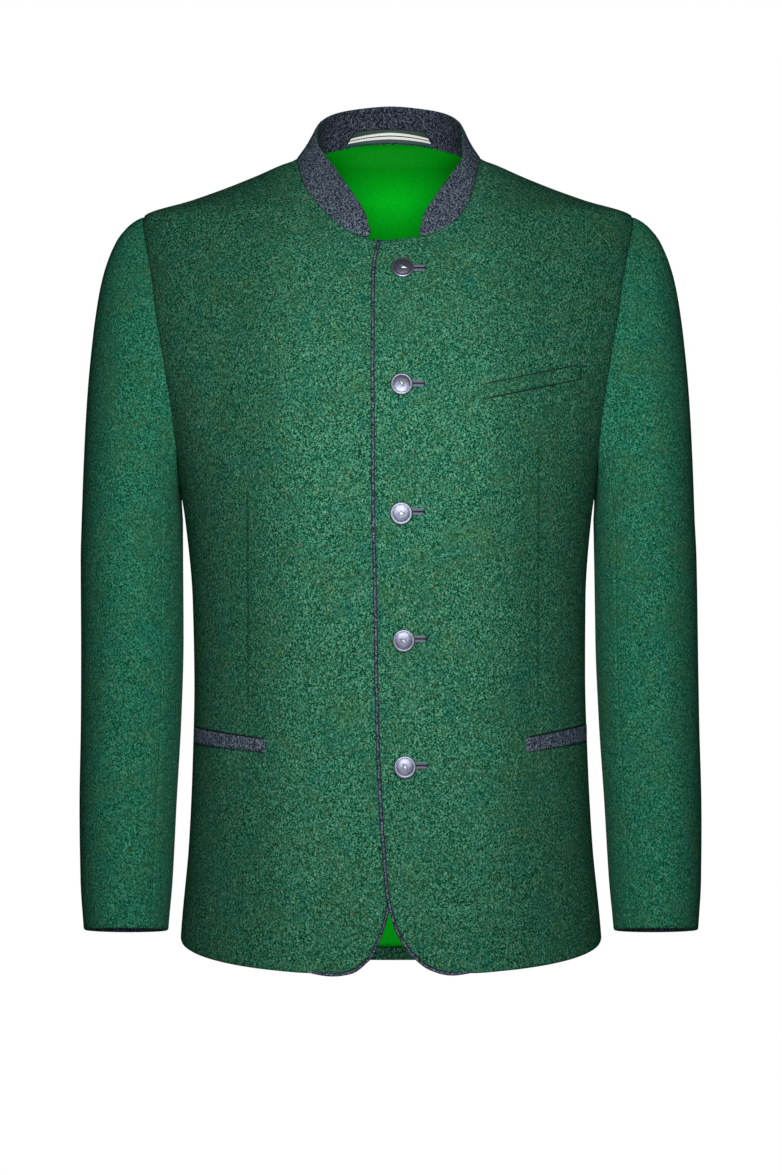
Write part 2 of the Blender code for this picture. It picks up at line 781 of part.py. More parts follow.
def ribbon_solid(collar, name):
    middle = collar.points.shape[1] // 2
    laid = collar.points - collar.normals * (COLLAR_WALL + RIBBON_GAP)
    base = laid[0]
    lengths = np.concatenate([[0.0], np.cumsum(np.linalg.norm(np.diff(base, axis=0), axis=1))])
    lengths -= lengths[middle]
    rows = []
    for height, half in RIBBON:
        stations = np.linspace(-half, half, 9)
        part = height * COLLAR_STEPS / np.linalg.norm(laid[-1, middle] - laid[0, middle])
        low = int(part)
        line = laid[low] * (1.0 - part + low) + laid[low + 1] * (part - low)
        ways = collar.normals[low]
        rows.append(
            [
                (
                    np.array([np.interp(s, lengths, line[:, k]) for k in range(3)]),
                    unit(np.array([np.interp(s, lengths, ways[:, k]) for k in range(3)])),
                )
                for s in stations
            ]
        )
    outer = np.array([[place for place, way in row] for row in rows])
    ways = np.array([[way for place, way in row] for row in rows])
    return wall_solid(name, outer, outer - ways * RIBBON_WALL, "ribbon")


def piping_solid(panel, first_row, name):
    """A flat cord beside the cut edge of a front, from a row of the edge down and round onto the hem."""
    path = [(i, 0) for i in range(first_row, 0, -1)] + [(0, j) for j in range(PIPING_HEM_STEPS + 1)]
    places = []
    for i, j in path:
        ways = inward(panel.points, i, j)
        if (i, j) == (0, 0):
            away = -unit(sum(ways))
        else:
            away = -ways[-1] if j == 0 else -ways[0]
        normal = panel.normals[i, j]
        middle = panel.points[i, j] - normal * 0.5 * panel.wall + away * (PIPING_HALF_WIDTH + SEAM_GAP)
        places.append((middle, away, normal))
    rings = []
    for middle, away, normal in places:
        ring = []
        for k in range(PIPING_SIDES):
            angle = 2.0 * math.pi * (k + 0.5) / PIPING_SIDES
            sideways = away * PIPING_HALF_WIDTH * math.cos(angle)
            outward = normal * PIPING_HALF_DEPTH * math.sin(angle)
            ring.append(middle + sideways + outward)
        rings.append(ring)
    vertices = [point for ring in rings for point in ring]
    faces = []
    sides = PIPING_SIDES
    for r in range(len(rings) - 1):
        for k in range(sides):
            n = (k + 1) % sides
            faces.append((r * sides + k, r * sides + n, (r + 1) * sides + n, (r + 1) * sides + k))
    last = (len(rings) - 1) * sides
    faces.append(tuple(range(sides))[::-1])
    faces.append(tuple(last + k for k in range(sides)))
    along = rings[1][0] - rings[0][0]
    turn = np.cross(rings[0][1] - rings[0][0], along)
    if turn.dot(rings[0][0] - places[0][0]) < 0.0:
        faces = [face[::-1] for face in faces]
    return solid(name, vertices, faces, "grey_wool")


def welt_solid(row):
    sizes = dict(zip(WELT_COLUMNS, row))
    side = sizes["side"]
    outer = np.zeros((2, WELT_STEPS + 1, 3))
    inner = np.zeros_like(outer)
    for i, edge in enumerate(("bottom", "top")):
        start_z = sizes["inner_" + edge]
        end_z = sizes["outer_" + edge]
        start = own(side, sizes["inner_x"], start_z)
        end = own(side, sizes["outer_x"], end_z)
        for j in range(WELT_STEPS + 1):
            share = j / WELT_STEPS
            along = start + (end - start) * share
            z = start_z + (end_z - start_z) * share
            normal = body_normal(side, along, z)
            place = body_point(side, along, z)
            inner[i, j] = place + normal * LAY_GAP
            outer[i, j] = place + normal * (LAY_GAP + WELT_WALL)
    return wall_solid(sizes["name"], outer, inner, sizes["material"])


def facing_solid(side, name):
    rows = sleeve_rows()[-FACING_HEIGHT_ROWS:]
    count = 2 * ARMHOLE_STEPS
    outer = np.zeros((len(rows), count, 3))
    inner = np.zeros_like(outer)
    for i, length in enumerate(rows):
        for j in range(count):
            turn = math.pi * j / ARMHOLE_STEPS
            lift = 0.8 if i == len(rows) - 1 else 0.0
            normal = sleeve_normal(side, turn, length)
            place = sleeve_point(side, turn, length) + np.array([0.0, 0.0, lift])
            outer[i, j] = place - normal * (WALL + LAY_GAP)
            inner[i, j] = place - normal * (WALL + LAY_GAP + FACING_WALL)
    return wall_solid(name, outer, inner, "grey_wool", closed=True)


def button_solid(x, z, name):
    along = own(1, x, z)
    axis = body_normal(1, along, z)
    return turned_solid(name, body_point(1, along, z), axis, BUTTON_PROFILE, BUTTON_SIDES, "pewter")


# The jacket

FORE_SEAM = 8
HIND_SEAM = -6


def clear_scene():
    for old in list(bpy.data.objects):
        bpy.data.objects.remove(old, do_unlink=True)


def build():
    clear_scene()
    front_right = front_panel(-1, "front_right")
    front_left = front_panel(1, "front_left")
    back_right = back_panel(-1, "back_right")
    back_left = back_panel(1, "back_left")
    panels = [front_right, front_left, back_right, back_left]
    for side, word in ((-1, "right"), (1, "left")):
        panels.append(sleeve_panel(side, "sleeve_upper_" + word, HIND_SEAM, FORE_SEAM))
        panels.append(sleeve_panel(side, "sleeve_under_" + word, FORE_SEAM, 2 * ARMHOLE_STEPS + HIND_SEAM))
    collar = collar_panel(front_right, back_right, back_left, front_left)
    panels.append(collar)
    join_seams(panels)
    for panel in panels:
        panel_solid(panel)
    lining_panel(back_right, back_left, "lining_back")
    ribbon_solid(collar, "hanger_ribbon")
    piping_solid(front_left, ARMHOLE_STEPS + SEAM_STEPS, "piping_left")
    rows = front_right.points[:, 0, 2]
    first = max(i for i in range(len(rows)) if rows[i] < RIGHT_PIPING_FROM_Z)
    piping_solid(front_right, first, "piping_right")
    for row in WELTS:
        welt_solid(row)
    for side, word in ((-1, "right"), (1, "left")):
        facing_solid(side, "cuff_facing_" + word)
    for k, (x, z) in enumerate(BUTTONS):
        button_solid(x, z, "button_%d" % (k + 1))


build()
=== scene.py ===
"""Looks of a man's green wool Tracht jacket with a grey stand collar, worn form, empty inside.

Sizes are in millimetres, as in the part, and become metres where the meshes are made.
"""

import math

import bpy
import numpy as np
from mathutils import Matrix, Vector


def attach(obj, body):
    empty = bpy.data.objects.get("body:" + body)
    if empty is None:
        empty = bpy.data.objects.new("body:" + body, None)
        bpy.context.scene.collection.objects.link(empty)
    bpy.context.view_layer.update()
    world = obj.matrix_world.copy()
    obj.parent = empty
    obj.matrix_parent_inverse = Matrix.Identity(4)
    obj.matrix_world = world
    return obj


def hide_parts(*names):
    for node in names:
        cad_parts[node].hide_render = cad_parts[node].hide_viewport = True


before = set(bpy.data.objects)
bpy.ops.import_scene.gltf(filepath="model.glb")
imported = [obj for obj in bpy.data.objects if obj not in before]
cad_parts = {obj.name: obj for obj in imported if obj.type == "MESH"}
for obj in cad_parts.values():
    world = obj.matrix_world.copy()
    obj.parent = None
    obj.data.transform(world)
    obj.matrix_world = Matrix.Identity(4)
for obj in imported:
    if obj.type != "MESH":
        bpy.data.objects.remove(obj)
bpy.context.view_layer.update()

MM = 0.001

# Cloth and gaps
WALL = 2.4
COLLAR_WALL = 2.6
LINING_WALL = 1.0
FACING_WALL = 1.2
SEAM_GAP = 0.34
COLLAR_GAP = 0.8
SLEEVE_GAP = 0.42
LAY_GAP = 0.4
RIBBON_GAP = 1.3
LAP_GAP = 0.6

# Body: half width, and depth to the front and to the back of the side line, at each height
ROUNDNESS = 2.25
SIDE_Y = 5.0
BODY_COLUMNS = ("z", "half_width", "front", "back")
BODY = (
    (24, 62, 13, 67), (10, 76, 13, 67.5), (0, 84.7, 15, 68), (-6, 99.5, 22, 71), (-17.3, 124.2, 34, 76.5),
    (-28.5, 151.2, 44, 81.5), (-39.6, 181.9, 53, 86.5), (-54.7, 227, 65, 92.5), (-64, 230, 72, 96),
    (-91, 231, 90, 105), (-138, 231, 113, 115), (-185, 224, 130.5, 119.5), (-234, 211, 143, 119.5),
    (-280, 198.5, 147, 117), (-307, 193.4, 147, 115), (-337, 188.8, 145.5, 112), (-412, 182.7, 136, 103.5),
    (-486, 181.8, 131, 101.5), (-560, 183.7, 132, 109), (-635, 187.4, 134.5, 118), (-709, 194.4, 135, 123),
    (-770, 199, 134.5, 125),
)
# The whole jacket leans a few millimetres to one side
LEAN_COLUMNS = ("z", "x")
LEAN = (
    (60, 0), (0, -1.5), (-50, -2.2), (-200, -3.2), (-330, -2.2), (-450, -0.9), (-600, 0),
    (-770, 0.7),
)

# Hem, side seam, neck and shoulder
HEM_SIDE_Z = -725.5
HEM_FRONT_DROP = 22.0
HEM_BACK_DROP = 33.5
HEM_BACK_POWER = 1.2
UNDERARM_Z = -307.0
SIDE_SEAM_TURN = (98.0, 107.0)
SHOULDER_TIP_Z = -54.7
BACK_NECK_RISE = 21.0
BACK_NECK_POWER = 1.5
NECK_COLUMNS = ("z", "half_width")
NECK = ((0, 84.7), (-14, 83.6), (-33.6, 77), (-50.5, 67), (-65, 54), (-75.5, 38.7), (-80, 25.5))
NECK_SHIFT = 6.2
NECK_SHIFT_Z = (-16.0, -66.0)
TOP_EDGE_Z = -84.5

# Armhole: an egg, narrow at the shoulder
ARMHOLE_MIDDLE_Y = SIDE_Y
ARMHOLE_FRONT = 60.0
ARMHOLE_BACK = 63.0
EGG = (0.98, 0.24, 0.20)

# Front edges: x of the cut edge of each front at each height, down to the middle of the round corner
EDGE_COLUMNS = ("z", "x")
LEFT_EDGE = (
    (-84.5, -9), (-96, -12.4), (-127, -14.4), (-190, -14.4), (-330, -13.8), (-427, -11.7),
    (-501, -10.8), (-569, -8.6), (-638, -4.3), (-672, -1.4), (-690, 1.7), (-704, 6),
    (-718, 13.3), (-727, 19.5),
)
LEFT_CORNER = ((19.5, -727), (25, -732.2), (33, -738.5), (44, -743.6), (57, -745.6))
LEFT_HEM_FROM = 74.0
RIGHT_EDGE = (
    (-84.5, 26), (-300, 26), (-470, 25), (-560, 20.5), (-620, 12), (-660, 3.5),
    (-690, -4.3), (-710, -10), (-723, -14.3), (-731, -19.3),
)
RIGHT_CORNER = ((-19.3, -731), (-27, -738.7), (-37.5, -744.2), (-48.5, -746.2), (-60, -746.2))
RIGHT_HEM_FROM = -80.0
LAP_FROM = 46.0
LAP_FULL = 18.0

# Sleeve: outline of the cap, as drop and reach from the shoulder tip, then the tube down to the cuff
CAP = (
    (0, 0), (1.9, 4.6), (7.2, 12.9), (12.8, 18.5), (18.4, 23.2), (24, 26.6), (40.7, 33.9),
    (59, 39.4), (78, 43.2), (115, 48.3), (170, 53.4), (230, 56.6), (282, 58.5),
)
TUBE_COLUMNS = ("z", "outside", "inside", "middle_y", "half_depth")
TUBE = (
    (-337, 285.5, 191.3, 8, 65), (-374, 286.9, 191.6, 8.5, 63.5), (-449, 287.4, 192, 9, 60.5),
    (-523, 287.8, 194.4, 5, 58), (-598, 288.8, 198.6, -3, 55), (-672, 287.4, 202.3, -12, 52.5),
    (-718, 284, 206, -18.5, 51), (-740, 283, 207, -20, 50.5),
)
CUFF_Z = -717.0
CUFF_SLANT = 6.5

# Collar: top edge beside the seam points, from the back to the end
COLLAR_COLUMNS = ("share", "half_width", "y", "z")
COLLAR_TOP = (
    (0, 0, 66, 56), (0.15, 36, 60.5, 52), (0.27, 56, 44, 45.5), (0.36, 65.5, 24, 36.5), (0.44, 68.5, 8, 28),
    (0.54, 68, -8, 15), (0.63, 65, -19, 3), (0.74, 54, -35, -15), (0.85, 38.5, -53, -38),
    (0.94, 26.2, -69, -60), (1, 23.2, -79, -77),
)

# Buttons: x and z of the middle of each one
BUTTONS = ((11, -112), (10, -218.6), (9.6, -333.6), (11.8, -447.4), (13, -561))

# Meshes: how many steps each edge has, and how many of them lie in one step of the solid
FINER = 5
FLAT_STEPS = 10
NECK_STEPS = 30
BACK_NECK_STEPS = 20
SHOULDER_STEPS = 30
ARMHOLE_STEPS = 55
SEAM_STEPS = 75
CAP_STEPS = 40
CAP_CROWDING = 1.25
TUBE_STEPS = 70
COLLAR_STEPS = 12
RELAX_ROUNDS = 90
RING_SAMPLES = 129
CURVE_SAMPLES = 33
HEM_SAMPLES = 41
EDGE_SAMPLES = 81


# Curves through the tables

def smooth_curve(xs, ys):
    """A smooth curve through the rows of a table that never swings past them."""
    order = np.argsort(xs)
    x = np.asarray(xs, float)[order]
    y = np.asarray(ys, float)[order]
    run = np.diff(x)
    rise = np.diff(y) / run
    slope = np.zeros(len(x))
    slope[0] = rise[0]
    slope[-1] = rise[-1]
    for i in range(1, len(x) - 1):
        if rise[i - 1] * rise[i] > 0.0:
            a = 2.0 * run[i] + run[i - 1]
            b = run[i] + 2.0 * run[i - 1]
            slope[i] = (a + b) / (a / rise[i - 1] + b / rise[i])

    def value(at):
        at = np.clip(at, x[0], x[-1])
        k = np.clip(np.searchsorted(x, at) - 1, 0, len(run) - 1)
        t = (at - x[k]) / run[k]
        return (
            (2 * t**3 - 3 * t**2 + 1) * y[k]
            + (t**3 - 2 * t**2 + t) * run[k] * slope[k]
            + (3 * t**2 - 2 * t**3) * y[k + 1]
            + (t**3 - t**2) * run[k] * slope[k + 1]
        )

    return value


def column_curve(table, names, along, wanted):
    rows = np.array(table)
    return smooth_curve(rows[:, names.index(along)], rows[:, names.index(wanted)])


half_width = column_curve(BODY, BODY_COLUMNS, "z", "half_width")
front_depth = column_curve(BODY, BODY_COLUMNS, "z", "front")
back_depth = column_curve(BODY, BODY_COLUMNS, "z", "back")
lean = column_curve(LEAN, LEAN_COLUMNS, "z", "x")
neck_half = column_curve(NECK, NECK_COLUMNS, "z", "half_width")


def ease(t):
    t = min(max(t, 0.0), 1.0)
    return t * t * (3.0 - 2.0 * t)


def unit(vector):
    return vector / max(np.linalg.norm(vector), 1e-12)


def run_along(points):
    """Distance from the first of a line of points to each of them."""
    return np.concatenate([[0.0], np.cumsum(np.linalg.norm(np.diff(points, axis=0), axis=1))])


# Body surface: level rings, turned from the front middle (0) to the back middle (180)

POWER = 2.0 / ROUNDNESS
TURNS = np.linspace(0.0, math.pi, RING_SAMPLES)


def ring_xy(z, turn):
    side = np.sin(turn) ** POWER
    front = np.abs(np.cos(turn)) ** POWER
    depth = np.where(np.cos(turn) > 0.0, -front_depth(z) * front, back_depth(z) * front)
    return half_width(z) * side, SIDE_Y + depth


RINGS = {}
RINGS_TOP = 23.9
NORMAL_STEP = 0.6
NORMAL_TURN = 0.01
NORMAL_SHARE = 0.004


def ring_lengths(z):
    key = round(float(z), 3)
    if key not in RINGS:
        RINGS[key] = run_along(np.stack(ring_xy(key, TURNS), axis=1))
    return RINGS[key]


def along_of_turn(z, turn):
    return float(np.interp(turn, TURNS, ring_lengths(z)))


def turn_of_x(z, x):
    return math.asin(min(max(x / float(half_width(z)), 0.0), 1.0) ** (1.0 / POWER))


def along_of_x(z, x):
    """Distance along the ring from the front middle to a point of the front at this x, with its sign."""
    return math.copysign(along_of_turn(z, turn_of_x(z, abs(x))), x)


def body_point(side, along, z):
    """Point of the body on one side (-1 right, 1 left); a negative distance lies across the middle."""
    turn = float(np.interp(abs(along), ring_lengths(z), TURNS))
    x, y = ring_xy(z, turn)
    return np.array([side * math.copysign(float(x), along) + float(lean(z)), float(y), z])


def body_normal(side, along, z):
    step = NORMAL_STEP
    across = body_point(side, along + step, z) - body_point(side, along - step, z)
    share = along / ring_lengths(z)[-1]
    ends = min(z + step, RINGS_TOP), z - step
    high, low = (body_point(side, share * ring_lengths(at)[-1], at) for at in ends)
    return unit(side * np.cross(across, high - low))


def armhole(turn):
    """(y, z) of the armhole at an angle from its top, 0 to 180 down the front and on to 360 up the back."""
    rise = 0.5 * (SHOULDER_TIP_Z - UNDERARM_Z)
    c = math.cos(turn)
    egg = EGG[0] - EGG[1] * c - EGG[2] * c * c
    reach = ARMHOLE_FRONT if math.sin(turn) > 0.0 else ARMHOLE_BACK
    return ARMHOLE_MIDDLE_Y - reach * math.sin(turn) * egg, UNDERARM_Z + rise * (1.0 + c)


def armhole_along(turn):
    y, z = armhole(turn)
    depth = (SIDE_Y - y) / float(front_depth(z)) if y < SIDE_Y else (SIDE_Y - y) / float(back_depth(z))
    cosine = math.copysign(abs(depth) ** (1.0 / POWER), depth)
    return along_of_turn(z, math.acos(cosine)), z


def armhole_point(side, turn):
    along, z = armhole_along(turn)
    return body_point(side, along, z)


def hem_z(turn):
    c = math.cos(turn)
    return HEM_SIDE_Z - (HEM_FRONT_DROP * c if c > 0.0 else HEM_BACK_DROP * abs(c) ** HEM_BACK_POWER)


def hem_curve(start):
    """Hem from a turn of the body to the side seam."""
    turns = np.linspace(start, math.radians(SIDE_SEAM_TURN[1]), HEM_SAMPLES)
    return [(along_of_turn(hem_z(turn), turn), hem_z(turn)) for turn in turns]


def side_seam_turn(share):
    """Turn of the side seam, from the underarm (0) to the hem (1)."""
    start = turn_at_armhole_bottom()
    return start + (math.radians(SIDE_SEAM_TURN[1]) - start) * ease(share)


def turn_at_armhole_bottom():
    along, z = armhole_along(math.pi)
    return float(np.interp(along, ring_lengths(z), TURNS))


# Outlines of the body panels, as (distance along the ring, height) pairs

def finer(points):
    """A line through the given points, with FINER steps for each of its own."""
    at = np.arange(len(points), dtype=float)
    wanted = np.linspace(0.0, at[-1], FINER * (len(points) - 1) + 1)
    return np.stack([smooth_curve(at, column)(wanted) for column in np.array(points).T], axis=1)


def spread(curve, steps):
    """Points at even spacing along a curve, laid through those of the solid."""
    if steps % FINER == 0:
        return finer(evenly(curve, steps // FINER))
    return evenly(curve, steps)


def evenly(curve, steps):
    """Points at equal distances along a curve given as a list of pairs."""
    points = np.array(curve, float)
    lengths = run_along(points)
    wanted = np.linspace(0.0, lengths[-1], steps + 1)
    return np.stack([np.interp(wanted, lengths, points[:, k]) for k in range(2)], axis=1)


def shifted_neck(side, z):
    """x of the neck seam at a height, measured towards the panel's own side."""
    start, end = NECK_SHIFT_Z
    return float(neck_half(z)) + side * NECK_SHIFT * ease((z - start) / (end - start))


def neck_curve(side):
    """Neck seam of a front, from the collar's end up to the side neck point."""
    curve = []
    for z in np.linspace(NECK[-1][0], 0.0, CURVE_SAMPLES):
        turn = turn_of_x(z, shifted_neck(side, z)) if z < -1.0 else 0.5 * math.pi
        if -1.0 > z > -8.0:
            blend = ease((z + 8.0) / 7.0)
            turn = turn * (1.0 - blend) + 0.5 * math.pi * blend
        curve.append((along_of_turn(z, turn), z))
    return curve


def shoulder_curve():
    """Shoulder seam, from the side neck point to the shoulder tip."""
    return [(along_of_turn(z, 0.5 * math.pi), z) for z in np.linspace(0.0, SHOULDER_TIP_Z, CURVE_SAMPLES)]


def back_neck_curve():
    """Neck seam of a back, from the centre to the side neck point."""
    curve = []
    for turn in np.linspace(math.pi, 0.5 * math.pi, CURVE_SAMPLES):
        z = BACK_NECK_RISE * abs(math.cos(turn)) ** BACK_NECK_POWER
        curve.append((along_of_turn(z, turn), z))
    return curve


def armhole_curve(start, end, steps):
    return [armhole_along(turn) for turn in np.linspace(start, end, steps + 1)]


def side_seam_curve():
    """Side seam, from the hem up to the underarm."""
    bottom = hem_z(math.radians(SIDE_SEAM_TURN[1]))
    curve = []
    for share in np.linspace(1.0, 0.0, SEAM_STEPS + 1):
        z = UNDERARM_Z + (bottom - UNDERARM_Z) * share
        curve.append((along_of_turn(z, side_seam_turn(share)), z))
    return curve


def own(side, x, z):
    """An x in the room as the distance along the ring towards the panel's own side."""
    return along_of_x(z, side * (x - float(lean(z))))


def front_bounds(side):
    """The four sides of a front: hem, seam side, top and front edge."""
    edge_rows, corner, hem_from = (
        (LEFT_EDGE, LEFT_CORNER, LEFT_HEM_FROM) if side > 0 else (RIGHT_EDGE, RIGHT_CORNER, RIGHT_HEM_FROM)
    )
    edge_x = column_curve(edge_rows, EDGE_COLUMNS, "z", "x")
    low = edge_rows[-1][0]
    edge = [(own(side, float(edge_x(z)), z), z) for z in np.linspace(low, TOP_EDGE_Z, EDGE_SAMPLES)]
    edge = spread(edge, ARMHOLE_STEPS + SEAM_STEPS)
    hem = [(own(side, x, z), z) for x, z in corner]
    start = turn_of_x(HEM_SIDE_Z - HEM_FRONT_DROP, abs(hem_from))
    hem += hem_curve(start)
    hem = spread(hem, FLAT_STEPS + NECK_STEPS + SHOULDER_STEPS)
    neck = neck_curve(side)
    flat = spread([tuple(edge[-1]), neck[0]], FLAT_STEPS)
    top = np.concatenate([flat, spread(neck, NECK_STEPS)[1:], spread(shoulder_curve(), SHOULDER_STEPS)[1:]])
    seam = np.array(side_seam_curve() + armhole_curve(math.pi, 0.0, ARMHOLE_STEPS)[1:])
    return hem, seam, top, edge


def back_bounds():
    """The four sides of a back, with distances measured from the centre back."""
    hem = hem_curve(math.pi)
    seam = np.array(side_seam_curve() + armhole_curve(math.pi, 2.0 * math.pi, ARMHOLE_STEPS)[1:])
    top = np.concatenate(
        [spread(back_neck_curve(), BACK_NECK_STEPS), spread(shoulder_curve(), SHOULDER_STEPS)[1:]]
    )
    centre = [(ring_lengths(z)[-1], z) for z in np.linspace(hem[0][1], BACK_NECK_RISE, EDGE_SAMPLES)]
    sides = [np.array(hem), seam, top, np.array(centre)]
    for pairs in sides:
        pairs[:, 0] = [ring_lengths(z)[-1] - along for along, z in pairs]
    sides[0] = spread(sides[0], BACK_NECK_STEPS + SHOULDER_STEPS)
    sides[3] = spread(sides[3], ARMHOLE_STEPS + SEAM_STEPS)
    return sides


def filled(hem, seam, top, edge):
    """A grid of pairs between four sides, rows from the hem up and columns from the edge to the seam."""
    hem, seam, top, edge = (np.array(line) for line in (hem, seam, top, edge))
    v = np.linspace(0.0, 1.0, len(edge))[:, None, None]
    u = np.linspace(0.0, 1.0, len(hem))[None, :, None]
    across = (1 - u) * edge[:, None] + u * seam[:, None]
    low = (1 - u) * hem[0] + u * hem[-1]
    high = (1 - u) * top[0] + u * top[-1]
    grid = across + (1 - v) * (hem - low) + v * (top - high)
    for _ in range(RELAX_ROUNDS):
        around = grid[2:, 1:-1] + grid[:-2, 1:-1] + grid[1:-1, 2:] + grid[1:-1, :-2]
        grid[1:-1, 1:-1] = 0.5 * grid[1:-1, 1:-1] + 0.125 * around
    return grid


def grid_normals(points, like):
    """Normals of a grid, on the side that the direction like, at its middle, points to."""
    across = np.gradient(points, axis=1)
    up = np.gradient(points, axis=0)
    normals = np.cross(across, up)
    normals /= np.maximum(np.linalg.norm(normals, axis=2), 1e-9)[:, :, None]
    middle = normals[points.shape[0] // 2, points.shape[1] // 2]
    return normals if middle.dot(like) > 0.0 else -normals


class Panel:
    """A cut piece: a grid of points on its outer face and the direction out of the cloth at each."""

    def __init__(self, name, points, normals, wall=WALL, gap=SEAM_GAP):
        self.name = name
        self.gap = gap
        self.points = points
        self.normals = normals
        self.wall = wall


def on_body(side, grid):
    """Points of the body's surface at a grid of (distance, height) pairs, and the ways out there."""
    points = np.array([[body_point(side, along, z) for along, z in row] for row in grid])
    middle = grid[grid.shape[0] // 2, grid.shape[1] // 2]
    return points, grid_normals(points, body_normal(side, *middle))


def lap_depth(side, along):
    if side > 0:
        return 0.0
    return (WALL + LAP_GAP) * ease((LAP_FROM - along) / (LAP_FROM - LAP_FULL))


def front_panel(side, name):
    grid = filled(*front_bounds(side))
    points, normals = on_body(side, grid)
    depth = np.array([[lap_depth(side, along) for along, z in row] for row in grid])
    return Panel(name, points - normals * depth[:, :, None], normals)


def back_panel(side, name):
    grid = filled(*back_bounds())
    for i, j in np.ndindex(*grid.shape[:2]):
        grid[i, j, 0] = ring_lengths(grid[i, j, 1])[-1] - grid[i, j, 0]
    return Panel(name, *on_body(side, grid))


# Sleeves: a cap that rolls out of the armhole, then a tube

cap_rows = np.array(CAP)
cap_lengths = run_along(cap_rows)
cap_down = smooth_curve(cap_lengths / cap_lengths[-1], cap_rows[:, 0] / cap_rows[-1, 0])
cap_out = smooth_curve(cap_lengths / cap_lengths[-1], cap_rows[:, 1] / cap_rows[-1, 1])
tube_outside = column_curve(TUBE, TUBE_COLUMNS, "z", "outside")
tube_inside = column_curve(TUBE, TUBE_COLUMNS, "z", "inside")
tube_middle = column_curve(TUBE, TUBE_COLUMNS, "z", "middle_y")
tube_half = column_curve(TUBE, TUBE_COLUMNS, "z", "half_depth")


def tube_point(side, turn, z):
    middle = 0.5 * (float(tube_outside(z)) + float(tube_inside(z)))
    half = 0.5 * (float(tube_outside(z)) - float(tube_inside(z)))
    x = side * (middle + half * math.cos(turn)) + float(lean(z))
    return np.array([x, float(tube_middle(z)) - float(tube_half(z)) * math.sin(turn), z])


def sleeve_point(side, turn, length):
    """Length 0 is the armhole, 1 the top of the tube and 2 the cuff."""
    if length > 1.0:
        start = TUBE[0][0]
        end = CUFF_Z + CUFF_SLANT * math.sin(turn)
        return tube_point(side, turn, start + (end - start) * (length - 1.0))
    low = tube_point(side, turn, TUBE[0][0])
    high = armhole_point(side, turn)
    out = float(cap_out(length))
    down = float(cap_down(length))
    under = (0.5 - 0.5 * math.cos(turn)) ** 4
    return high + (low - high) * np.array([out + (down - out) * under, out, down])


def sleeve_normal(side, turn, length):
    a = max(length - NORMAL_SHARE, 0.0)
    b = min(length + NORMAL_SHARE, 2.0)
    around = sleeve_point(side, turn + NORMAL_TURN, length) - sleeve_point(side, turn - NORMAL_TURN, length)
    down = sleeve_point(side, turn, b) - sleeve_point(side, turn, a)
    return unit(side * np.cross(around, down))


def sleeve_rows():
    cap = np.linspace(0.0, 1.0, CAP_STEPS + 1) ** CAP_CROWDING
    tube = np.linspace(1.0, 2.0, TUBE_STEPS + 1)[1:]
    return np.concatenate([cap, tube])


def sleeve_panel(side, name, first, last):
    """Columns run from one armhole step to another; 0 is the top, and they count down the front."""
    rows = sleeve_rows()
    turns = [math.pi * column / ARMHOLE_STEPS for column in range(first, last + 1)]
    points = np.array([[sleeve_point(side, turn, length) for turn in turns] for length in rows])
    like = sleeve_normal(side, turns[len(turns) // 2], rows[len(rows) // 2])
    return Panel(name, points, grid_normals(points, like), gap=SLEEVE_GAP)


# Collar: stands on the neck seam

def collar_panel(front_right, back_right, back_left, front_left):
    low = np.array(COLLAR_TOP)
    signs = [-1.0 if name in ("share", "half_width") else 1.0 for name in COLLAR_COLUMNS]
    low = np.concatenate([low[:0:-1] * signs, low])
    share_to = {name: smooth_curve(low[:, 0], low[:, k]) for k, name in enumerate(COLLAR_COLUMNS)}
    halves = []
    for side, front, back in ((-1, front_right, back_right), (1, front_left, back_left)):
        neck = front.points[-1, FLAT_STEPS : FLAT_STEPS + NECK_STEPS]
        base = np.concatenate([back.points[-1, : BACK_NECK_STEPS + 1], neck[::-1]])
        lengths = run_along(base)
        columns = []
        for point, share in zip(base, lengths / lengths[-1]):
            z = float(share_to["z"](share))
            half = float(share_to["half_width"](share))
            x = side * half + NECK_SHIFT * ease((share - 0.5) / 0.22) + float(lean(z))
            top = np.array([x, float(share_to["y"](share)), z])
            steps = np.linspace(0.0, 1.0, COLLAR_STEPS + 1)[:, None]
            columns.append(point + (top - point) * steps)
        halves.append(np.stack(columns, axis=1))
    points = np.concatenate([halves[0][:, ::-1], halves[1][:, 1:]], axis=1)
    behind = np.array([0.0, 1.0, 0.0])
    return Panel("collar_stand", points, grid_normals(points, behind), COLLAR_WALL, COLLAR_GAP)


# Seams: neighbours share their points, lean their cut edges to each other and stand a hair apart

SAME_PLACE = 0.05


def border_of(panel):
    rows, columns = panel.points.shape[:2]
    every = np.ndindex(rows, columns)
    return [(i, j) for i, j in every if i in (0, rows - 1) or j in (0, columns - 1)]


def inward(points, i, j):
    """Directions along the cloth, away from each border that this point is on."""
    ways = []
    for grid, a, b in ((points, i, j), (points.swapaxes(0, 1), j, i)):
        last, side_last = grid.shape[0] - 1, grid.shape[1] - 1
        if a in (0, last):
            inner = grid[1 if a == 0 else last - 1, b] - grid[a, b]
            edge = unit(grid[a, min(b + 1, side_last)] - grid[a, max(b - 1, 0)])
            ways.append(unit(inner - edge * inner.dot(edge)))
    return ways


